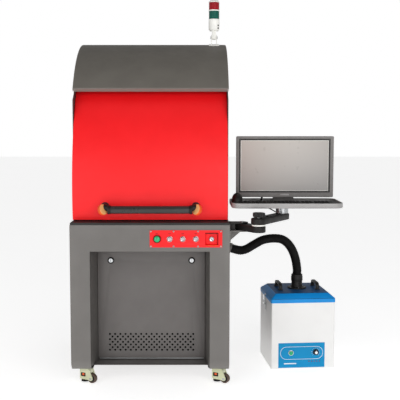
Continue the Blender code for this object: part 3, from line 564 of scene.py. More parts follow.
def accessPanel():
    depth = cabinet["panelDepth"]
    holes = [circle((side * access["lockX"], access["lockZ"]), access["lockHole"], 20) for side in (-1, 1)]
    for row in range(access["ventRows"]):
        count = access["ventCount"] - row % 2  # every other row sits between its neighbours
        for i in range(count):
            x = (i - (count - 1) / 2) * access["ventPitch"]
            holes.append(circle((x, access["ventLow"] + row * access["ventRise"]), access["ventRadius"], 14))
    outline = roundRect((-access["x"], access["x"]), access["z"], 0.002, 3)
    low = access["z"][0]
    sheet = slab(outline, (depth, depth + 0.003), holes, "XZ", 0.0004)
    lip = panel((-access["x"] + 0.006, access["x"] - 0.006), (low + 0.0035, low + 0.0090), 0.001,
                (depth - 0.0055, depth + 0.0004), steps=2)
    piece("accessPanel", [(sheet, mat["legPowderCoat"]), (lip, zinc)], "front_panel",
          ["access_panel"])
    # a black block behind the vents, painted shade, so that they open on to something dark and solid
    tray = block((-0.235, 0.235), (depth + 0.030, depth + 0.034), (0.125, 0.262), 0.001)
    hood = block((-0.235, 0.235), (depth + 0.030, depth + 0.080), (0.262, 0.265), 0.001)
    piece("ventBackingPaintedShade", [(tray, rubber), (hood, mat["blackPowderCoat"])], "cabinet")
    for side, word in sides:
        x, z = side * access["lockX"], access["lockZ"]
        at = facing(x, depth, z)
        rose = turned([(0.0128, 0.0003), (0.0168, 0.0003), (0.0172, 0.0012), (0.0164, 0.0022), (0.0130, 0.0026),
                       (0.0128, 0.0003)], 40, at)
        piece("lockRose_" + word, [(rose, rubber)], "front_panel")
        slot = block((x - 0.0009, x + 0.0009), (depth - 0.0084, depth - 0.0079), (z - 0.0062, z + 0.0062), 0.0002, 1)
        ring = turned([(0.0046, 0.0079), (0.0058, 0.0079), (0.0058, 0.0083), (0.0046, 0.0083), (0.0046, 0.0079)],
                      32, at)
        piece("lockSlot_" + word, [(slot, keyAbs), (ring, zinc)], "lock_" + word)
    dress(["panel_lock_left", "panel_lock_right"], chrome, 0.0006)


accessPanel()

# rubber bulb along the deck, under the door's lower edge
seal = tube([(x, 0.0668, 0.84575) for x in (-0.386, -0.2, 0, 0.2, 0.386)], 0.0030, 12)
strip = block((-0.388, 0.388), (0.064, 0.074), (0.8426, 0.8440), 0.0003, 1)
piece("doorSeal", [(seal, rubber), (strip, rubber)], "cabinet")
print("base made")

controls = {"x": (0.000, 0.362), "z": (0.718, 0.804), "front": -0.0023, "back": -0.0003, "buttonZ": 0.760,
            "start": 0.0365, "pushes": (0.100, 0.165, 0.230), "key": 0.309, "screwX": (0.006, 0.119, 0.241, 0.355),
            "screwZ": (0.7235, 0.7985), "startR": 0.0155, "pushR": 0.0125, "keyR": 0.0095, "recess": (0.033, 0.0315)}


def bezelRing(bore, rim, x, z):
    # a turned ring round a button, standing off the plate
    profile = [(bore, 0.0003), (rim - 0.0002, 0.0003), (rim, 0.0030), (rim - 0.0006, 0.0066), (rim - 0.0016, 0.0080),
               (bore + 0.0010, 0.0078), (bore, 0.0066), (bore, 0.0003)]
    return turned(profile, 48, facing(x, 0, z))


def controlPlate():
    z = controls["buttonZ"]
    front, back = controls["front"], controls["back"]
    halfX, halfZ = controls["recess"]
    kx, play = controls["key"], 0.0004
    wide, tall = (kx - halfX, kx + halfX), (z - halfZ, z + halfZ)
    window = roundRect(wide, tall, 0.002, 3)
    holes = [circle((controls["start"], z), controls["startR"] + play, 32)]
    holes += [circle((x, z), controls["pushR"] + play, 32) for x in controls["pushes"]] + [window]
    plate = slab(roundRect(controls["x"], controls["z"], 0.003, 5), (front, back), holes, "XZ", 0.0005)
    parts = [(plate, redCoat)]
    # deep pan round the key switch, pressed into the plate, with black strips at its top and right as painted shadow
    inner = roundRect(grown(wide, -0.004), grown(tall, -0.004), 0.002, 3)
    pan = thickened(loft([[(u, front + 0.0004, v) for u, v in window], [(u, 0.0110, v) for u, v in inner]], False),
                    0.0008)
    floorPlate = slab(inner, (0.0106, 0.0118), [circle((kx, z), controls["keyR"] + play, 28)], "XZ", 0.0003)
    parts += [(pan, redCoat), (floorPlate, redCoat)]
    for u, v in ((grown(wide, -0.0008), (tall[1] - 0.0040, tall[1])),
                 ((wide[1] - 0.0030, wide[1]), (tall[0] + 0.001, tall[1]))):
        parts.append((block(u, (front - 0.0002, 0.0080), v, 0.0003, 1), rubber))
    # an orange line along the pan's lower edge: painted highlight where its lower wall catches the light
    low = tall[0] - 0.0012
    lip = [(wide[0] + 0.003, -0.0032, low), (kx, -0.0034, tall[0] - 0.0004), (wide[1] - 0.003, -0.0032, low)]
    parts.append((tube(lip, 0.0012, 12), mat["mouldedOrangeAbs"]))
    barrel = [(0.0099, -0.0112), (0.0120, -0.0112), (0.0120, 0.0066), (0.0112, 0.0080), (0.0104, 0.0080),
              (0.0099, 0.0072), (0.0099, -0.0112)]
    parts.append((turned(barrel, 40, facing(kx, 0, z)), chrome))
    parts.append((bezelRing(controls["startR"] + play, 0.0205, controls["start"], z), mat["darkRedAnodised"]))
    for x in controls["pushes"]:
        parts.append((bezelRing(controls["pushR"] + play, 0.0146, x, z), chrome))
    head = [(0, 0.0046), (0.0016, 0.0046), (0.0034, 0.0040), (0.0044, 0.0028), (0.0044, 0.0022), (0, 0.0022)]
    for x in controls["screwX"]:
        for sz in controls["screwZ"]:
            parts.append((turned(head, 20, facing(x, 0, sz)), zinc))
            for turn in (0.4, 0.4 + math.pi / 2):
                at = facing(x, 0, sz) @ spin(turn, "Z")
                parts.append((block((-0.0018, 0.0018), (-0.0004, 0.0004), (0.0045, 0.0048), 0, matrix=at), darkAbs))
    for x in (controls["start"], *controls["pushes"]):  # a plain mark above each button
        mark = panel((x - 0.0070, x + 0.0070), (z + 0.0250, z + 0.0280), 0.0008, (front - 0.0004, front), 0.0001,
                     steps=2)
        parts.append((mark, mat["darkRedAnodised"]))
    piece("controlPlate", parts, "cabinet", ["control_plate"])
    r = controls["startR"]
    dome = [(0, 0.0140), (0.35 * r, 0.0138), (0.68 * r, 0.0128), (0.90 * r, 0.0108), (0.99 * r, 0.0080), (r, 0.004),
            (r, -0.012), (0, -0.012)]
    piece("startButton", [(turned(dome, 40, facing(controls["start"], 0, z)), mat["greenButtonAbs"])], "start_cap",
          ["start_button"])
    r = controls["pushR"]
    for i, x in enumerate(controls["pushes"]):  # faceted crown round a dished top
        at = facing(x, 0, z)
        crown = turned([(0.62 * r, 0.0128), (0.80 * r, 0.0130), (0.995 * r, 0.0104), (0.995 * r, -0.012),
                        (0.62 * r, -0.012)], 8, at)
        dish = turned([(0, 0.0112), (0.35 * r, 0.0114), (0.64 * r, 0.0128), (0.64 * r, 0.004), (0, 0.004)], 40, at)
        piece("pushButton_%d" % (i + 1), [(crown, chrome), (dish, zinc)],
              "push_cap_%d" % (i + 1), ["push_button_%d" % (i + 1)])
    r = controls["keyR"]
    rotor = [(0, 0.0078), (0.0042, 0.0078), (0.0046, 0.0090), (0.88 * r, 0.0094), (r, 0.0085), (r, -0.012),
             (0, -0.012)]
    slot = block((-0.0011, 0.0011), (-0.0038, 0.0038), (0.0070, 0.0082), 0.0002, 1, facing(kx, 0, z))
    piece("keySwitch", [(turned(rotor, 40, facing(kx, 0, z)), chrome), (slot, keyAbs)],
          "key_rotor", ["key_switch"])


controlPlate()
print("controls made")

caster = {"x": 0.342, "y": (0.100, 0.880), "trail": 0.045, "turn": math.radians(-28), "wheel": 0.025,
          "half": 0.020, "slot": 0.0123, "threads": 15}


def casters():
    outline = [(-0.018, 0.0784), (0.027, 0.0784), (0.035, 0.0748), (0.0405, 0.0680), (0.0425, 0.0600),
               (0.0480, 0.0460), (0.0535, 0.0340), (0.0555, 0.0260), (0.0540, 0.0195), (0.0495, 0.0155),
               (0.0430, 0.0145), (0.0370, 0.0165), (0.020, 0.018), (-0.016, 0.018), (-0.0202, 0.022),
               (-0.021, 0.027), (-0.021, 0.074)]
    roof = [(-0.0205, 0.0560), (-0.0205, 0.0740), (-0.018, 0.0782), (0.027, 0.0782), (0.035, 0.0746),
            (0.0405, 0.0678), (0.0425, 0.0560)]
    half, slot = caster["half"], caster["slot"]
    for sx, side in sides:
        for y, end in zip(caster["y"], ("front", "rear")):
            tag = "_%s_%s" % (end, side)
            place = cabinetPlace @ move(sx * caster["x"], y, 0) @ spin(caster["turn"], "Z")
            cream = mat["mouldedCasterNylon"]
            parts = []
            for flip in (-1, 1):
                window = roundRect((-0.0145, 0.0150), (0.0335, 0.0535), 0.003, 3)
                parts.append((slab(outline, (flip * half, flip * slot), [window], "XZ", 0.0014), cream))
                cap = [(0, 0.0018), (0.0045, 0.0018), (0.0062, 0.0010), (0.0064, -0.0006), (0, -0.0006)]
                at = move(caster["trail"], flip * half, caster["wheel"]) @ spin(-flip * math.pi / 2, "X")
                parts.append((turned(cap, 24, at), zinc))
            parts.append((slab(roof, (-slot, slot), plane="XZ", edge=0.0003), cream))
            # a black block filling the window round the thumbwheel: painted shade inside the housing
            parts.append((block((-0.0140, 0.0145), (-0.0182, 0.0182), (0.0338, 0.0532), 0.0003, 1), keyAbs))
            parts.append((block((-0.0205, -0.0165), (-slot, slot), (0.0185, 0.0565), 0.0003), cream))
            parts.append((block((-0.0170, 0.0172), (-slot, slot), (0.0185, 0.0320), 0.0003), cream))
            knurl = [(0.0060, 0.0395), (0.0195, 0.0395), (0.0212, 0.0408), (0.0212, 0.0497), (0.0195, 0.0510),
                     (0.0060, 0.0510), (0.0060, 0.0395)]
            wheelRim = turned(knurl, 96, lobes=lambda a: 1 + 0.012 * math.copysign(1, math.sin(24 * a)))
            wheelRim.transform(Matrix.Diagonal((0.80, 0.94, 1, 1)))
            parts.append((wheelRim, mat["mouldedOrangeAbs"]))
            plate = block((-0.030, 0.030), (-0.030, 0.030), (0.0784, 0.0800), 0.0004, 1)
            axle = tube([(caster["trail"], across, caster["wheel"]) for across in (-0.0135, 0.0135)], 0.004, 16)
            parts += [(plate, zinc), (axle, zinc)]
            piece("casterHousing" + tag, parts, "swivel" + tag, ["caster_housing" + tag], place)
            rim = caster["wheel"]
            tread = mirrored([(0.0175, 0.0094), (0.0190, 0.0108), (rim - 0.003, 0.0110), (rim - 0.0012, 0.0100),
                              (rim, 0.0080)])
            hub = mirrored([(0.0045, 0.0106), (0.0085, 0.0106), (0.0095, 0.0088), (0.0172, 0.0084), (0.0178, 0.0080)])
            lie = facing(caster["trail"], 0, rim)
            piece("casterWheel" + tag, [(turned(tread, 48, lie), mat["castPolyurethane"]),
                                        (turned(hub, 40, lie), blackNylon)],
                  "wheel" + tag, ["caster_wheel" + tag], place)
            pad = [(0, 0.0145), (0.0080, 0.0145), (0.0160, 0.0130), (0.0205, 0.0112), (0.0210, 0.0095),
                   (0.0205, 0.0070), (0.0190, 0.0060), (0, 0.0060)]
            thread = [(0, 0.048)]
            for i in range(caster["threads"]):
                z = 0.0470 - i * 0.0022
                thread += [(0.0044, z), (0.0050, z - 0.0011)]
            thread += [(0.0044, 0.0140), (0, 0.0140)]
            piece("levelFoot" + tag, [(turned(pad, 40), rubber), (turned(thread, 20), zinc)],
                  "foot" + tag, ["level_foot" + tag], place)


casters()
print("casters made")

visor = {"pivot": (0.850, 0.980), "radius": 0.800, "half": 0.392, "angles": (-9.4, 43.0), "thickness": 0.0025,
         "corner": 0.004, "flange": 0.100, "endFlange": 0.025, "rows": 64}
hood = {"centre": (0.660, 1.183), "radius": 0.593, "half": 0.400, "lip": 33.5, "thickness": 0.0015, "corner": 0.005,
        "flange": 0.025, "rows": 56}


def bentSheet(profile, half, flange, corner, thickness):
    # a sheet bent along X from a profile of (y, z, inward y, inward z), with folded side flanges
    across = [(-half, flange)]
    across += [(-half + corner - corner * math.cos(a), corner - corner * math.sin(a))
               for a in (math.radians(15 * i) for i in range(7))]
    across += [(-x, d) for x, d in across[::-1]]
    rings = [[(x, y + ny * d, z + nz * d) for x, d in across] for y, z, ny, nz in profile]
    bm = bmesh.new()
    grid = [[bm.verts.new(p) for p in ring] for ring in rings]
    for low, high in zip(grid, grid[1:]):
        for i in range(len(across) - 1):
            bm.faces.new((low[i], low[i + 1], high[i + 1], high[i]))
    mesh = bpy.data.meshes.new("bent")
    bm.to_mesh(mesh)
    bm.free()
    return thickened(mesh, thickness)


def bendPoint(centre, radius, a):
    # a point of a bend at angle a, and the direction from it to the bend's centre
    return (centre[0] - radius * math.cos(a), centre[1] + radius * math.sin(a), math.cos(a), -math.sin(a))


def folded(y, z, half, depth, thickness, turn):
    # an end flange: a strip from the skin's edge inwards, square to it
    strip = block((-half, half), (0, depth), (-thickness / 2, thickness / 2), 0.0004, 1)
    strip.transform(move(0, y, z) @ spin(turn, "X"))
    return strip


def visorDoor():
    low, high = visor["angles"]
    pivot, radius, rows = visor["pivot"], visor["radius"], visor["rows"]
    profile = [bendPoint(pivot, radius, math.radians(low + (high - low) * i / rows)) for i in range(rows + 1)]
    skin = bentSheet(profile, visor["half"], visor["flange"], visor["corner"], visor["thickness"])
    parts = [(skin, redCoat)]
    for angle, lift in ((low, 1), (high, -1)):
        a = math.radians(angle) + lift * 0.5 * visor["thickness"] / radius
        y, z = bendPoint(pivot, radius, a)[:2]
        parts.append((folded(y, z, visor["half"] - 0.003, visor["endFlange"], visor["thickness"], -a), redCoat))
    piece("visorDoor", parts, "door", ["door_panel"])
    for side, word in sides:
        end = bendPoint(pivot, radius - 0.030, 0.09)[:2]
        x = side * (visor["half"] - visor["thickness"] - 0.0023)
        bar = slab(capsule(end, pivot, 0.024), (x - 0.002, x + 0.002), [circle((0.5, 1.007), 0.010)], "YZ", 0.0006)
        pin = tube([(x - side * 0.006, *pivot), (side * 0.3963, *pivot)], 0.008, 28)
        nut = stud(0.012, 0.005, 0.013, 0.004, move(x - side * 0.0070, *pivot) @ spin(side * math.pi / 2, "Y"), 6)
        piece("doorArm_" + word, [(bar, mat["blackPowderCoat"]), (pin, zinc), (nut, zinc)],
              "door", ["door_arm_" + word])


def hoodShell():
    centre, radius, rows = hood["centre"], hood["radius"], hood["rows"]
    turns = [math.radians(hood["lip"] + (90 - hood["lip"]) * i / rows) for i in range(rows + 1)]
    profile = [bendPoint(centre, radius, a) for a in turns]
    top = centre[1] + radius
    profile.append((cabinet["depth"] - 0.002, top, 0, -1))
    skin = bentSheet(profile, hood["half"], hood["flange"], hood["corner"], hood["thickness"])
    a = math.radians(hood["lip"]) + 0.5 * hood["thickness"] / radius
    y, z = bendPoint(centre, radius, a)[:2]
    flange = folded(y, z, hood["half"] - 0.004, hood["flange"], hood["thickness"], -a)
    rear = block((-hood["half"] + 0.004, hood["half"] - 0.004), (cabinet["depth"] - 0.0035, cabinet["depth"] - 0.002),
                 (top - hood["flange"], top - 0.0004), 0.0004, 1)
    # the paler tube along the lip is a painted highlight on the lip's edge
    edge = tube([(x, y + 0.0004, z + 0.0006) for x in (-0.395, 0, 0.395)], 0.0011, 8)  # a paler edge along the lip
    parts = [(part, mat["hoodPowderCoat"]) for part in (skin, flange, rear)]
    piece("hoodShell", parts + [(edge, mat["greyPowderCoat"])], "cabinet", ["canopy"])


handle = {"y": -0.006, "z": 0.907, "radius": 0.0195, "grip": (-0.2010, 0.2050), "ends": (-0.2570, 0.2600),
          "cap": (0.0255, 0.0262, 0.0268), "posts": (-0.222, 0.227), "door": 0.0510}


def handleCap(x, side):
    # an end plug: an orange shell cut on the slant, closed with a cream oval
    shell = bmesh.new()
    bmesh.ops.create_uvsphere(shell, u_segments=48, v_segments=32, radius=1)
    for vert in shell.verts:
        p = vert.co
        tip = 1 + 0.22 * max(0.0, p.x) * max(0.0, p.z)  # the upper outer corner runs to a blunt tip
        vert.co = Vector((p.x * tip * handle["cap"][0], p.y * handle["cap"][1], p.z * tip * handle["cap"][2]))
    normal = Vector((-0.66, -0.60, 0.30)).normalized()
    cut = bmesh.ops.bisect_plane(shell, geom=shell.verts[:] + shell.edges[:] + shell.faces[:],
                                 plane_co=normal * 0.0062, plane_no=normal, clear_outer=True)
    bmesh.ops.contextual_create(shell, geom=[e for e in cut["geom_cut"] if isinstance(e, bmesh.types.BMEdge)])
    plug = bmesh.new()
    face = next(f for f in shell.faces if len(f.verts) > 8)  # the cut is the one face with many corners
    ring = [v.co.copy() for v in face.verts]
    middle = sum(ring, Vector()) / len(ring)
    lower = [plug.verts.new(p - normal * 0.0010) for p in ring]
    upper = [plug.verts.new(middle + (p - middle) * 0.96 + normal * 0.0012) for p in ring]
    crown = plug.verts.new(middle + normal * 0.0030)
    for i in range(len(ring)):
        j = (i + 1) % len(ring)
        plug.faces.new((lower[i], lower[j], upper[j], upper[i]))
        plug.faces.new((upper[i], upper[j], crown))
    plug.faces.new(lower)
    place = move(x, handle["y"], handle["z"]) @ Matrix.Diagonal((side, 1, 1, 1))
    return fromBmesh(shell, place), fromBmesh(plug, place)


def pullHandle():
    y, z = handle["y"], handle["z"]
    left, right = handle["grip"]
    bar = tube([(left, y, z), (0, y, z), (right, y, z)], handle["radius"], 48)
    parts = [(bar, mat["satinDarkTube"])]
    for grip, end, post in zip(handle["grip"], handle["ends"], handle["posts"]):
        side = math.copysign(1, end)
        flare = [(0.0195, -0.004), (0.0205, -0.003), (0.0212, 0.004), (0.0228, 0.011), (0.0215, 0.013), (0, 0.013)]
        turn = move(grip - side * 0.006, y, z) @ spin(side * math.pi / 2, "Y")
        parts.append((turned(flare, 48, turn), blackNylon))
        shell, plug = handleCap(end - side * handle["cap"][0], side)
        parts += [(shell, mat["mouldedOrangeAbs"]), (plug, mat["mouldedCreamAbs"])]
        route = bend([(grip - side * 0.002, y + 0.006, z + 0.006), (post + side * 0.004, y + 0.010, z + 0.011),
                      (post + side * 0.004, handle["door"] - 0.0004, z + 0.012)], 0.012)
        parts.append((tube(route, 0.0160, 28), blackNylon))
        base = turned([(0, 0.006), (0.0170, 0.006), (0.0200, 0.0045), (0.0210, 0.001), (0.0210, 0), (0, 0)], 36,
                      facing(post + side * 0.004, handle["door"], z + 0.012))
        parts.append((base, blackNylon))
    piece("pullHandle", parts, "door", ["door_handle"])


visorDoor()
hoodShell()
pullHandle()
print("door and hood made")

signal = {"x": 0.334, "y": 0.550, "pivot": 1.808, "body": (1.843, 1.908), "green": (1.909, 1.951),
          "red": (1.958, 1.998), "top": 2.0126, "radius": 0.0300, "lens": 0.0288,
          "marks": (1.857, 1.872)}


def lensProfile(low, high, radius):
    # fluted rings catch the light as fine bright lines
    rings = [(0, high), (radius - 0.0010, high)]
    count = 7
    step = (high - low) / count
    for i in range(count):
        z = high - i * step
        rings += [(radius - 0.0009, z - 0.05 * step), (radius, z - 0.35 * step), (radius, z - 0.65 * step),
                  (radius - 0.0009, z - 0.95 * step)]
    return rings + [(radius - 0.0010, low), (0, low)]


def signalLamp():
    at = move(signal["x"], signal["y"], 0)
    r = signal["radius"]
    low, high = signal["body"]
    body = [(0, high), (r - 0.0015, high), (r, high - 0.0012), (r, low + 0.012), (r - 0.0015, low + 0.006),
            (r - 0.006, low + 0.001), (0.012, low), (0, low)]
    ring = [(0.020, 1.9515), (r - 0.0008, 1.9515), (r, 1.9523), (r, 1.9567), (r - 0.0008, 1.9575), (0.020, 1.9575)]
    cap = [(0, signal["top"]), (0.012, 2.0121), (0.0200, 2.0104), (0.0255, 2.0068), (r, 2.0015), (r, 1.9990),
           (r - 0.0008, 1.9984), (0.020, 1.9984)]
    tongue = slab(capsule((signal["y"], 1.846), (signal["y"], signal["pivot"]), 0.012),
                  (signal["x"] - 0.011, signal["x"] + 0.011), plane="YZ", edge=0.002)
    marks = [stud(0.0042, 0.0012, 0.0048, 0.0006, move(signal["x"] + 0.0218, signal["y"] - 0.0206, z)
                  @ spin(math.radians(46), "Z") @ faceOn, foot=-0.003) for z in signal["marks"]]
    white = mat["mouldedWhitePolycarbonate"]
    parts = [(turned(p, 48, at), white) for p in (body, ring, cap)] + [(tongue, white)]
    for tint in ("green", "red"):
        parts.append((turned(lensProfile(*signal[tint], signal["lens"]), 48, at), mat[tint + "LensPolycarbonate"]))
    parts += [(mark, keyAbs) for mark in marks]
    piece("signalLamp", parts, "lamp", ["tower_lamp"])
    dress(["tower_foot"], white, 0.0012)
    x = signal["x"]
    bolt = tube([(x + d, signal["y"], signal["pivot"]) for d in (-0.0182, 0.0182)], 0.0045, 20)
    heads = [stud(0.0058, 0.0035, 0.0068, 0.0025, move(x + s * 0.0166, signal["y"], signal["pivot"])
                  @ spin(s * math.pi / 2, "Y"), 6) for s in (-1, 1)]
    piece("lampPivotBolt", [(shape, zinc) for shape in (bolt, *heads)], "cabinet")


signalLamp()
print("signal lamp made")

arm = {"a": (0.4646, 0.075), "b": (0.540, -0.030), "c": (0.680, 0.195), "tray": 0.910, "rim": 0.936}


def swingArm():
    dress(["arm_bracket"], mat["greyPowderCoat"], 0.0010)
    ax, ay = arm["a"]
    bx, by = arm["b"]
    cx, cy = arm["c"]
    lower = slab(capsule(arm["a"], arm["b"], 0.035, 16), (0.797, 0.830), [circle(arm["a"], 0.0106, 28)], "XY", 0.005)
    at = move(bx, by, 0)
    pin = turned([(0, 0.872), (0.0085, 0.872), (0.0098, 0.8708), (0.0098, 0.829), (0, 0.829)], 32, at)
    washer = turned([(0.0098, 0.8368), (0.0330, 0.8368), (0.0338, 0.8358), (0.0338, 0.8312), (0.0330, 0.8302),
                     (0.0098, 0.8302), (0.0098, 0.8368)], 48, at)
    piece("lowerLink", [(lower, blackNylon), (pin, zinc), (washer, mat["mouldedWhitePolycarbonate"])],
          "lower_arm", ["lower_link"])
    cheek = slab([*arc(arm["a"], 0.031, -90, 90, 16), (0.4008, ay + 0.031), (0.4008, ay - 0.031)], (0.8308, 0.8372),
                 plane="XY", edge=0.0010)
    back = block((0.4004, 0.4066), (0.036, 0.114), (0.7962, 0.8372), 0.0008)
    web = block((0.4060, 0.4286), (0.052, 0.098), (0.7985, 0.8312), 0.0010)
    cap = turned([(0, 0.8415), (0.0070, 0.8415), (0.0100, 0.8400), (0.0112, 0.8372), (0, 0.8372)], 6,
                 move(ax, ay, 0))
    piece("shoulderClevis", [(cheek, blackNylon), (back, blackNylon), (web, blackNylon), (cap, zinc)], "cabinet")
    upper = slab(capsule(arm["b"], arm["c"], 0.038, 16), (0.837, 0.869), [circle(arm["b"], 0.0106, 28)], "XY", 0.006)
    piece("upperLink", [(upper, blackNylon)], "upper_arm", ["upper_link"])

    def star(a):
        return 1 + 0.12 * math.cos(5 * a)

    grip = [(0.0105, 0.8732), (0.0200, 0.8732), (0.0280, 0.8750), (0.0292, 0.8790), (0.0292, 0.8905),
            (0.0270, 0.8950), (0.0200, 0.8964), (0.0120, 0.8964), (0.0105, 0.8950), (0.0105, 0.8732)]
    hub = [(0, 0.8966), (0.0060, 0.8966), (0.0085, 0.8955), (0.0100, 0.8930), (0.0103, 0.8740), (0.0103, 0.8725),
           (0, 0.8725)]
    piece("clampKnob", [(turned(grip, 80, at, star), blackNylon), (turned(hub, 32, at), zinc)], "knob",
          ["clamp_knob"])
    tray(cx, cy)


desk = {"x": (0.4104, 0.9726), "y": (0.020, 0.330), "corner": 0.050, "sheet": 0.0020}


def tray(cx, cy):
    low, high = arm["tray"], arm["rim"]

    def ring(inset, z):
        outline = roundRect(grown(desk["x"], -inset), grown(desk["y"], -inset), desk["corner"] - inset, 10)
        return [(u, v, z) for u, v in outline]

    rings = [ring(inset, z) for inset, z in ((0.0042, high - 0.0042), (0.0040, high - 0.0018),
                                             (0.0026, high - 0.0003), (0.0010, high - 0.0004), (0, high - 0.0018),
                                             (0, low + 0.0050), (0.0008, low + 0.0022), (0.0024, low + 0.0006),
                                             (0.0048, low))]
    outer = loft(rings, False)
    bm = bmesh.new()
    bm.from_mesh(outer)
    bm.faces.new([v for v in bm.verts if abs(v.co.z - low) < 1e-6])
    mesh = bpy.data.meshes.new("tray")
    bm.to_mesh(mesh)
    bm.free()
    pan = thickened(mesh, desk["sheet"])
    at = move(cx, cy, 0)
    post = [(0, 0.8694), (0.0320, 0.8694), (0.0330, 0.8704), (0.0330, 0.8760), (0.0322, 0.8768), (0.0322, 0.8990),
            (0.0330, 0.8998), (0.0330, 0.9060), (0.0320, 0.9100), (0, 0.9100)]
    bolts = [stud(0.0040, 0.0022, 0.0052, 0.0012, move(cx + dx, cy, low + desk["sheet"]))
             for dx in (-0.0920, 0.0980)]
    piece("trayPan", [(pan, mat["satinTraySteel"]), (turned(post, 48, at), mat["brushedAluminium"])]
          + [(b, zinc) for b in bolts], "desk", ["tray"])


swingArm()
print("arm and tray made")

monitor = {"x": (0.441, 0.946), "y": (0.200, 0.238), "z": (0.952, 1.2685), "screenX": (0.461, 0.923),
           "screenZ": (0.982, 1.250), "boss": ((0.6535, 0.7335), (0.237, 0.2555), (1.090, 1.110))}


def monitorSet():
    x, y, z = monitor["x"], monitor["y"], monitor["z"]
    sx, sz = monitor["screenX"], monitor["screenZ"]
    grey, dark = mat["mouldedGreyAbs"], darkAbs
    front = y[0]
    bezel = panel(x, z, 0.006, (front, front + 0.014), 0.0014, (sx, sz, 0.0015, 2))
    inner = panel(grown(sx, 0.002), grown(sz, 0.002), 0.0015, (front + 0.0020, front + 0.0060), 0.0008,
                  (grown(sx, -0.0032), grown(sz, -0.0032), 0.001, 2), 2)
    screen = panel(grown(sx, 0.001), grown(sz, 0.001), 0.001, (front + 0.0045, front + 0.0080), 0.0003, steps=2)
    # a white ring just inside the screen's edge: painted highlight along the bezel's inner edge
    line = panel(grown(sx, -0.0026), grown(sz, -0.0026), 0.001, (front + 0.0030, front + 0.0056), 0.0004,
                 (grown(sx, -0.0052), grown(sz, -0.0052), 0.001, 2), 2)
    rim = panel(grown(sx, 0.0055), grown(sz, 0.0055), 0.003, (front - 0.0003, front + 0.0012), 0.0001,
                (grown(sx, 0.0008), grown(sz, 0.0008), 0.0015, 2), 3)
    seam = panel(grown(x, -0.002), grown(z, -0.002), 0.006, (front + 0.0135, front + 0.0155), 0.0003)
    rear = panel(x, z, 0.008, (front + 0.0150, front + 0.0280), 0.0040)
    middleX, middleZ = (x[0] + x[1]) / 2, (z[0] + z[1]) / 2
    hump = loft([[(u, d, v) for u, v in roundRect((middleX - w, middleX + w), (middleZ - h, middleZ + h), 0.012, 6)]
                 for w, h, d in ((0.205, 0.120, front + 0.0270), (0.198, 0.113, front + 0.0345),
                                 (0.190, 0.106, y[1] - 0.0006), (0.186, 0.102, y[1]))])
    bx, by, bz = monitor["boss"]
    boss = block(bx, (y[1] - 0.001, by[1]), bz, 0.0015)
    notch = panel((middleX - 0.023, middleX + 0.023), (z[0] + 0.0105, z[0] + 0.0165), 0.0028,
                  (front - 0.0001, front + 0.0030), 0.0003, steps=4)
    parts = [(bezel, grey), (inner, dark), (rim, dark), (screen, mat["mattScreenPaintedReflection"]),
             (line, mat["mouldedWhitePolycarbonate"]), (seam, dark), (rear, grey), (hump, grey), (boss, dark),
             (notch, mat["satinTraySteel"])]
    for i in range(22):  # vent slots along the back's upper part
        vx = middleX - 0.168 + i * 0.016
        for vz in ((1.186, 1.192), (1.174, 1.180)):
            parts.append((block((vx - 0.0045, vx + 0.0045), (y[1] - 0.0012, y[1] + 0.0002), vz, 0.0004, 1), dark))
    for i in range(5):
        kx = x[1] - 0.070 + i * 0.012
        parts.append((block((kx - 0.0035, kx + 0.0035), (front + 0.004, front + 0.009),
                            (z[0] - 0.0012, z[0] + 0.002), 0.0004, 1), dark))
    for dx in (-0.0375, 0.0375):
        for dz in (-0.0375, 0.0375):
            at = move(middleX + dx, y[1], 1.100 + dz) @ spin(-math.pi / 2, "X")
            parts.append((stud(0.0030, 0.0008, 0.0036, 0, at, foot=-0.001), zinc))
    piece("monitorCase", parts, "display", ["monitor"])
    dress(["monitor_stand"], grey, 0.0016)


keys = {"x": (0.469, 0.948), "y": (0.040, 0.180), "low": 0.9123, "front": 0.9235, "back": 0.9340, "rows": 6,
        "pitch": 0.01905, "rowPitch": 0.0200, "gap": 0.0022, "rise": 0.0040, "depth": 0.0165, "taper": 0.0018}


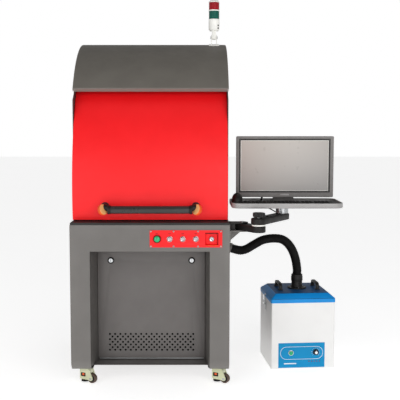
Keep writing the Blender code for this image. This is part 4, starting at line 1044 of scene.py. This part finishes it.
def keyboard():
    x, y = keys["x"], keys["y"]
    slope = (keys["back"] - keys["front"]) / (y[1] - y[0])
    side = [(y[0], keys["low"]), (y[1], keys["low"]), (y[1], keys["back"] - 0.001), (y[1] - 0.002, keys["back"]),
            (y[0] + 0.002, keys["front"]), (y[0], keys["front"] - 0.0015)]
    parts = [(slab(side, x, plane="YZ", edge=0.0008), keyAbs)]
    bm = bmesh.new()
    start = x[0] + 0.0105
    blocks = ((0, 15.1), (15.5, 18.5), (18.9, 22.9))
    depth, t = keys["depth"], keys["taper"]
    for row in range(keys["rows"]):
        v = y[0] + 0.0095 + row * keys["rowPitch"] + (0.0035 if row == keys["rows"] - 1 else 0)
        base = keys["front"] + slope * (v - y[0])
        for low, high in blocks:
            widths = [1.0] * round(high - low)
            if row == 0 and low == 0:
                widths = [1.5, 1.2, 1.2, 6.2, 1.2, 1.2, 1.5]
            if row == 0 and low > 18:
                widths = [2, 1, 1]
            total = sum(widths)
            u = low
            for w in widths:
                w = w * (high - low) / total
                a, b = start + u * keys["pitch"], start + (u + w) * keys["pitch"] - keys["gap"]
                near, far = base - 0.001, base + slope * depth - 0.001
                lower = [bm.verts.new(p) for p in ((a, v, near), (b, v, near), (b, v + depth, far),
                                                   (a, v + depth, far))]
                near, far = base + keys["rise"], base + slope * depth + keys["rise"] - 0.0006
                upper = [bm.verts.new(p) for p in ((a + t, v + t, near), (b - t, v + t, near),
                                                   (b - t, v + depth - t, far), (a + t, v + depth - t, far))]
                bm.faces.new(upper)
                bm.faces.new(lower[::-1])
                for i in range(4):
                    j = (i + 1) % 4
                    bm.faces.new((lower[i], lower[j], upper[j], upper[i]))
                u += w
    bmesh.ops.bevel(bm, geom=[e for e in bm.edges if all(v.co.z > keys["low"] + 0.004 for v in e.verts)],
                    offset=0.0006, segments=1, affect="EDGES")
    parts.append((fromBmesh(bm), keyAbs))
    piece("keyboard", parts, "desk", ["keyboard"])


mouse = {"at": (0.4425, 0.118, 0.9396), "size": (0.0300, 0.0450, 0.0430),
         "mat": ((0.4145, 0.4660), (0.055, 0.190))}


def mouseSet():
    x, y, z = mouse["at"]
    sheet = slab(roundRect(*mouse["mat"], 0.006, 6), (0.9366, 0.9394), plane="XY", edge=0.0008)
    bm = bmesh.new()
    bmesh.ops.create_uvsphere(bm, u_segments=48, v_segments=32, radius=1)
    for vert in bm.verts:
        p = vert.co
        p.z = max(p.z, 0.0)
        k = 0.72 + 0.28 * (1 - p.z)
        waist = 1 - 0.10 * math.exp(-((p.y + 0.05) / 0.35) ** 2) * (1 - p.z)
        crown = 1 + 0.10 * p.y
        vert.co = Vector((p.x * mouse["size"][0] * waist * (0.9 + 0.1 * k), p.y * mouse["size"][1],
                          (p.z ** 0.85) * mouse["size"][2] * (crown if p.z > 0 else 1) * 0.97))
        vert.co.z = min(vert.co.z, mouse["size"][2])
    shell = fromBmesh(bm, move(x, y, z))
    wheel = turned([(0, 0.0032), (0.0042, 0.0032), (0.0052, 0.0022), (0.0052, -0.0022), (0.0042, -0.0032),
                    (0, -0.0032)], 32, move(x, y - 0.0270, z + 0.0310) @ spin(math.pi / 2, "Y"))
    line = []
    for i in range(13):  # the line between the two buttons
        t = -0.98 + 0.06 * i
        height = mouse["size"][2] * 0.97 * (1 + 0.10 * t) * (max(0.0, 1 - t * t) ** 0.5) ** 0.85
        line.append((x, y + 0.0475 * t, z + 0.0004 + height))
    parts = [(sheet, rubber), (shell, blackNylon), (wheel, darkAbs), (tube(line, 0.0005, 6), rubber)]
    piece("mouse", parts, "desk", ["mouse"], sharp=50)


monitorSet()
keyboard()
mouseSet()
print("monitor, keyboard and mouse made")

extractor = {"at": (0.801, 0.494), "turn": math.radians(5), "halfX": 0.1745, "halfY": 0.1735, "top": 0.366,
             "rim": 0.388, "lidTop": 0.415, "collarTop": 0.4935, "label": ((-0.1355, 0.1205), (0.0085, 0.1455)),
             "button": (-0.066, 0.091), "knob": (0.071, 0.093), "handle": 0.104}
extractorPlace = cabinetPlace @ move(*extractor["at"], 0) @ spin(extractor["turn"], "Z")


def local(parts, name, body, replaced=()):
    return piece(name, parts, body, replaced, extractorPlace)


def extractorCase():
    hx, hy, top = extractor["halfX"], extractor["halfY"], extractor["top"]
    white, foil, ink = mat["whitePowderCoat"], mat["bluePrintedFoil"], mat["whiteScreenInk"]

    def ring(inset, z, radius=0.007):
        return [(u, v, z) for u, v in roundRect((-hx + inset, hx - inset), (-hy + inset, hy - inset), radius, 6)]

    shell = thickened(loft([ring(0, top), ring(0, 0.0040), ring(0.0008, 0.0012), ring(0.0030, 0)], False), 0.002)
    base = slab(roundRect((-hx + 0.002, hx - 0.002), (-hy + 0.002, hy - 0.002), 0.006), (0.0002, 0.0026),
                plane="XY")
    wide, tall = extractor["label"]
    label = panel(wide, tall, 0.0015, (-hy - 0.0010, -hy + 0.0005), 0.0003, steps=3)
    printed = (-hy - 0.0014, -hy - 0.0008)
    u, v, r = (wide[0] + 0.0105, wide[1] - 0.0095), (0.0545, 0.1250), 0.0345
    outline = panel(u, v, r, printed, 0.0001, (grown(u, -0.0019), grown(v, -0.0019), r - 0.0019, 14), 14)
    bar = panel((-0.104, -0.036), (0.0285, 0.0345), 0.0012, printed, 0.0001, steps=2)
    parts = [(shell, white), (base, white), (label, foil), (outline, ink), (bar, ink)]
    for i in range(5):
        parts.append((turned([(0, 0.0022), (0.0022, 0.0018), (0.0030, 0.0006), (0.0030, -0.001), (0, -0.001)], 20,
                             facing(0.034 + 0.0145 * i, -hy - 0.0010, 0.042)), mat["darkRedAnodised"]))
    pressed = facing(extractor["button"][0], -hy, extractor["button"][1])
    bezel = [(0.0112, 0.0008), (0.0150, 0.0008), (0.0152, 0.0030), (0.0143, 0.0046), (0.0124, 0.0050),
             (0.0112, 0.0042), (0.0112, 0.0008)]
    parts.append((turned(bezel, 40, pressed), chrome))
    knobX, knobZ = extractor["knob"]
    for i in range(11):  # dial marks round the speed knob
        a = math.radians(225 - 27 * i)
        mark = block((-0.0022, 0.0022), (-0.0003, 0.0003), (-0.0006, 0.0006), 0)
        mark.transform(move(knobX + 0.0215 * math.cos(a), -hy - 0.0012, knobZ + 0.0215 * math.sin(a)) @ spin(-a, "Y"))
        parts.append((mark, ink))
    for side in (-1, 1):  # catch plates for the latches
        across = sorted((side * (hx + 0.0003), side * (hx + 0.0028)))
        parts.append((block(across, (-0.013, 0.013), (0.296, 0.340), 0.0006), zinc))
    for i in range(9):  # outlet louvres at the back
        z = 0.062 + i * 0.016
        blade = block((-0.100, 0.100), (-0.0010, 0.0010), (-0.0062, 0.0062), 0.0005, 1)
        blade.transform(move(0, hy + 0.0006, z) @ spin(math.radians(-14), "X"))
        parts.append((blade, mat["blackPowderCoat"]))
    parts.append((slab(roundRect((-0.110, 0.110), (0.048, 0.204), 0.005), (hy, hy + 0.0016),
                       [roundRect((-0.102, 0.102), (0.055, 0.197), 0.003)], "XZ", 0.0005), white))
    parts.append((block((-0.102, 0.102), (hy, hy + 0.0006), (0.055, 0.197), 0), rubber))
    socket = slab(roundRect((0.112, 0.148), (0.030, 0.056), 0.003), (hy, hy + 0.0030),
                  [roundRect((0.117, 0.143), (0.035, 0.051), 0.002)], "XZ", 0.0006)
    parts.append((socket, blackNylon))
    for fx in (-0.140, 0.140):
        for fy in (-0.140, 0.140):
            pad = [(0, 0.0010), (0.011, 0.0010), (0.012, 0.0002), (0, 0.0002)]
            parts.append((turned(pad, 24, move(fx, fy, 0)), rubber))
    local(parts, "extractorCase", "cabinet", ["extractor_body"])
    cap = [(0, 0.0100), (0.0040, 0.0099), (0.0080, 0.0092), (0.0105, 0.0074), (0.0110, 0.0050), (0.0110, -0.014),
           (0, -0.014)]
    local([(turned(cap, 40, pressed), mat["greenButtonAbs"])], "extractorButton", "extractor_cap",
          ["extractor_button"])

    def ridged(a):
        return 1 + 0.018 * math.cos(20 * a)

    skirt = [(0.006, 0.0012), (0.0158, 0.0012), (0.0158, 0.0050), (0.0135, 0.0070), (0.0132, 0.0150),
             (0.0120, 0.0165), (0.0085, 0.0168), (0.006, 0.0160), (0.006, 0.0012)]
    hub = [(0, 0.0176), (0.0060, 0.0176), (0.0078, 0.0168), (0.0078, 0.0100), (0, 0.0100)]
    at = facing(knobX, -hy, knobZ)
    pointer = block((-0.0007, 0.0007), (0.0060, 0.0125), (0.0160, 0.0172), 0.0002, 1, at)
    local([(turned(skirt, 80, at, ridged), blackNylon), (turned(hub, 32, at), ink), (pointer, ink)],
          "extractorKnob", "speed_knob", ["extractor_knob"])
    dress(["extractor_filter"], mat["pressedFelt"], 0.004)


def extractorLid():
    hx, hy = extractor["halfX"] + 0.002, extractor["halfY"] + 0.002
    low, rim, top = extractor["top"] + 0.0003, extractor["rim"], extractor["lidTop"]

    def ring(inset, z, radius):
        return [(u, v, z) for u, v in roundRect((-hx + inset, hx - inset), (-hy + inset, hy - inset), radius, 8)]

    skirt = loft([ring(0.0022, low, 0.007), ring(0.0006, low, 0.008), ring(0, low + 0.0008, 0.008),
                  ring(0, rim - 0.0022, 0.008), ring(0.0008, rim - 0.0006, 0.008), ring(0.0026, rim, 0.007),
                  ring(0.0040, rim, 0.006)])
    line = loft([ring(0.0030, rim - 0.0010, 0.007), ring(0.0030, rim + 0.0014, 0.007)])
    slope = loft([ring(0.0024, rim + 0.0012, 0.007), ring(0.0030, rim + 0.0026, 0.007),
                  ring(0.0285, top - 0.0030, 0.010), ring(0.0300, top - 0.0016, 0.011)])
    plate = loft([ring(0.0298, top - 0.0020, 0.011), ring(0.0315, top - 0.0005, 0.011), ring(0.0350, top, 0.012)])
    blue = mat["blueMouldedAbs"]
    # the lid's top plate takes the darker blue: painted shade
    parts = [(skirt, blue), (line, rubber), (slope, blue), (plate, mat["blueMouldedAbsPaintedShade"])]
    collar = [(0.0258, 0.4930), (0.0270, extractor["collarTop"]), (0.0300, extractor["collarTop"]),
              (0.0310, 0.4920), (0.0310, 0.4800), (0.0300, 0.4790), (0.0300, 0.4350), (0.0310, 0.4330),
              (0.0330, 0.4250), (0.0360, 0.4225), (0.0510, 0.4222), (0.0525, 0.4210), (0.0525, 0.4145),
              (0, 0.4145)]
    cuff = [(0.0300, 0.4560), (0.0318, 0.4570), (0.0324, 0.4600), (0.0324, 0.4800), (0.0318, 0.4826),
            (0.0300, 0.4830), (0.0300, 0.4560)]
    parts += [(turned(collar, 56), blackNylon), (turned(cuff, 56), blackNylon)]
    for i in range(6):
        a = math.tau * (i + 0.5) / 6
        at = move(0.0445 * math.cos(a), 0.0445 * math.sin(a), 0.4222)
        parts.append((turned([(0, 0.0022), (0.0026, 0.0020), (0.0036, 0.0008), (0.0036, 0), (0, 0)], 20, at), zinc))
    for x in (-extractor["handle"], extractor["handle"]):  # bow handles, a strap 19 mm wide standing on two feet
        outer = [(-0.0640, 0.4146), (-0.0640, 0.4300), (-0.0615, 0.4400), (-0.0560, 0.4475), (-0.0480, 0.4520),
                 (-0.0380, 0.4535)]
        inner = [(-0.0520, 0.4146), (-0.0520, 0.4300), (-0.0490, 0.4370), (-0.0430, 0.4405), (-0.0360, 0.4415)]
        bow = outer + [(-v, z) for v, z in outer[::-1]] + [(-v, z) for v, z in inner] + inner[::-1]
        parts.append((slab(bow, (x - 0.0095, x + 0.0095), plane="YZ", edge=0.0030), blackNylon))
        for y in (-0.0580, 0.0580):
            foot = block((x - 0.0125, x + 0.0125), (y - 0.0115, y + 0.0115), (top - 0.0002, top + 0.0050), 0.0018)
            parts.append((foot, blackNylon))
    for side in (-1, 1):
        across = sorted((side * (hx - 0.0004), side * (hx + 0.0018)))
        parts.append((block(across, (-0.010, 0.010), (0.3745, 0.3850), 0.0006), zinc))
    local(parts, "extractorLid", "cabinet", ["extractor_lid"])
    for side, word in sides:
        x = side * (extractor["halfX"] + 0.0085)
        inner, outer = x - side * 0.0040, x + side * 0.0040
        plate = slab(roundRect((-0.0150, 0.0150), (0.3275, 0.3800), 0.002, 5), sorted((outer - side * 0.0018, outer)),
                     [roundRect((-0.0075, 0.0075), (0.3350, 0.3520), 0.003, 4)], "YZ", 0.0006)
        cheeks = [block(sorted((inner, outer - side * 0.001)), sorted((s * 0.0128, s * 0.0148)), (0.3270, 0.3760),
                        0.0004, 1) for s in (-1, 1)]
        barrel = tube([(x, -0.0148, 0.330), (x, 0.0148, 0.330)], 0.0042, 20)
        wire = [(x, -0.0090, 0.3400), (x, -0.0090, 0.3790), (x, 0.0090, 0.3790), (x, 0.0090, 0.3400)]
        loop = tube(bend(wire, 0.004, 5), 0.0015, 12)
        local([(m, chrome) for m in (plate, *cheeks, barrel, loop)], "extractorLatch_" + word,
              "toggle_" + word, ["extractor_latch_" + word])


extractorCase()
extractorLid()
print("extractor made")


def works():
    profile = [(0.170, 0.8428), (0.510, 0.8428), (0.510, 0.870)]
    for i in range(6, -1, -1):
        y = 0.340 + (i - 3) * 0.048
        slot = [(0.004, 0.870), (0.004, 0.864), (0.009, 0.864), (0.009, 0.858)]
        profile += [(y + d, z) for d, z in slot] + [(y - d, z) for d, z in slot[::-1]]
    profile.append((0.170, 0.870))
    table = slab(profile, (-0.220, 0.220), plane="YZ", edge=0.0003)
    piece("slottedTable", [(table, mat["brushedAluminium"])], "cabinet", ["work_table"])
    column = block((-0.060, 0.060), (0.632, 0.720), (0.8428, 1.550), 0.002)
    parts = [(column, mat["brushedAluminium"])]
    for x in (-0.040, 0.040):
        outline = [(x - 0.008, 0.620), (x + 0.008, 0.620), (x + 0.008, 0.624), (x + 0.005, 0.627),
                   (x + 0.008, 0.633), (x - 0.008, 0.633), (x - 0.005, 0.627), (x - 0.008, 0.624)]
        parts.append((slab(outline, (0.860, 1.540), plane="XY", edge=0.0004), chrome))
    piece("zColumn", parts, "cabinet", ["z_column"])
    dark = mat["anodisedBlack"]
    carriage = block((-0.050, 0.050), (0.570, 0.6193), (1.170, 1.360), 0.002)
    barrel = tube([(0, 0.395, 1.265), (0, 0.575, 1.265)], 0.036, 48)
    collar = turned([(0.0355, 0), (0.041, 0), (0.042, 0.002), (0.042, 0.014), (0.041, 0.016), (0.0355, 0.016),
                     (0.0355, 0)], 48, facing(0, 0.418, 1.265))
    head = block((-0.055, 0.055), (0.280, 0.400), (1.190, 1.330), 0.005, 3)
    lens = [(0, 1.1415), (0.032, 1.1415), (0.035, 1.1400), (0.045, 1.1400), (0.045, 1.1500), (0.042, 1.1520),
            (0.042, 1.1580), (0.045, 1.1600), (0.045, 1.1700), (0.041, 1.1740), (0.041, 1.1960), (0, 1.1960)]
    glass = turned([(0, 1.1402), (0.016, 1.1406), (0.031, 1.1418), (0.031, 1.1440), (0, 1.1440)], 48,
                   move(0, 0.340, 0))
    piece("scanHead", [(carriage, dark), (barrel, dark), (collar, zinc), (head, dark),
                       (turned(lens, 56, move(0, 0.340, 0)), blackNylon),
                       (glass, mat["groundLensGlass"])], "scan_carriage", ["scan_head"])
    dress(["laser_source"], dark, 0.0012)


works()
print("chamber fittings made")
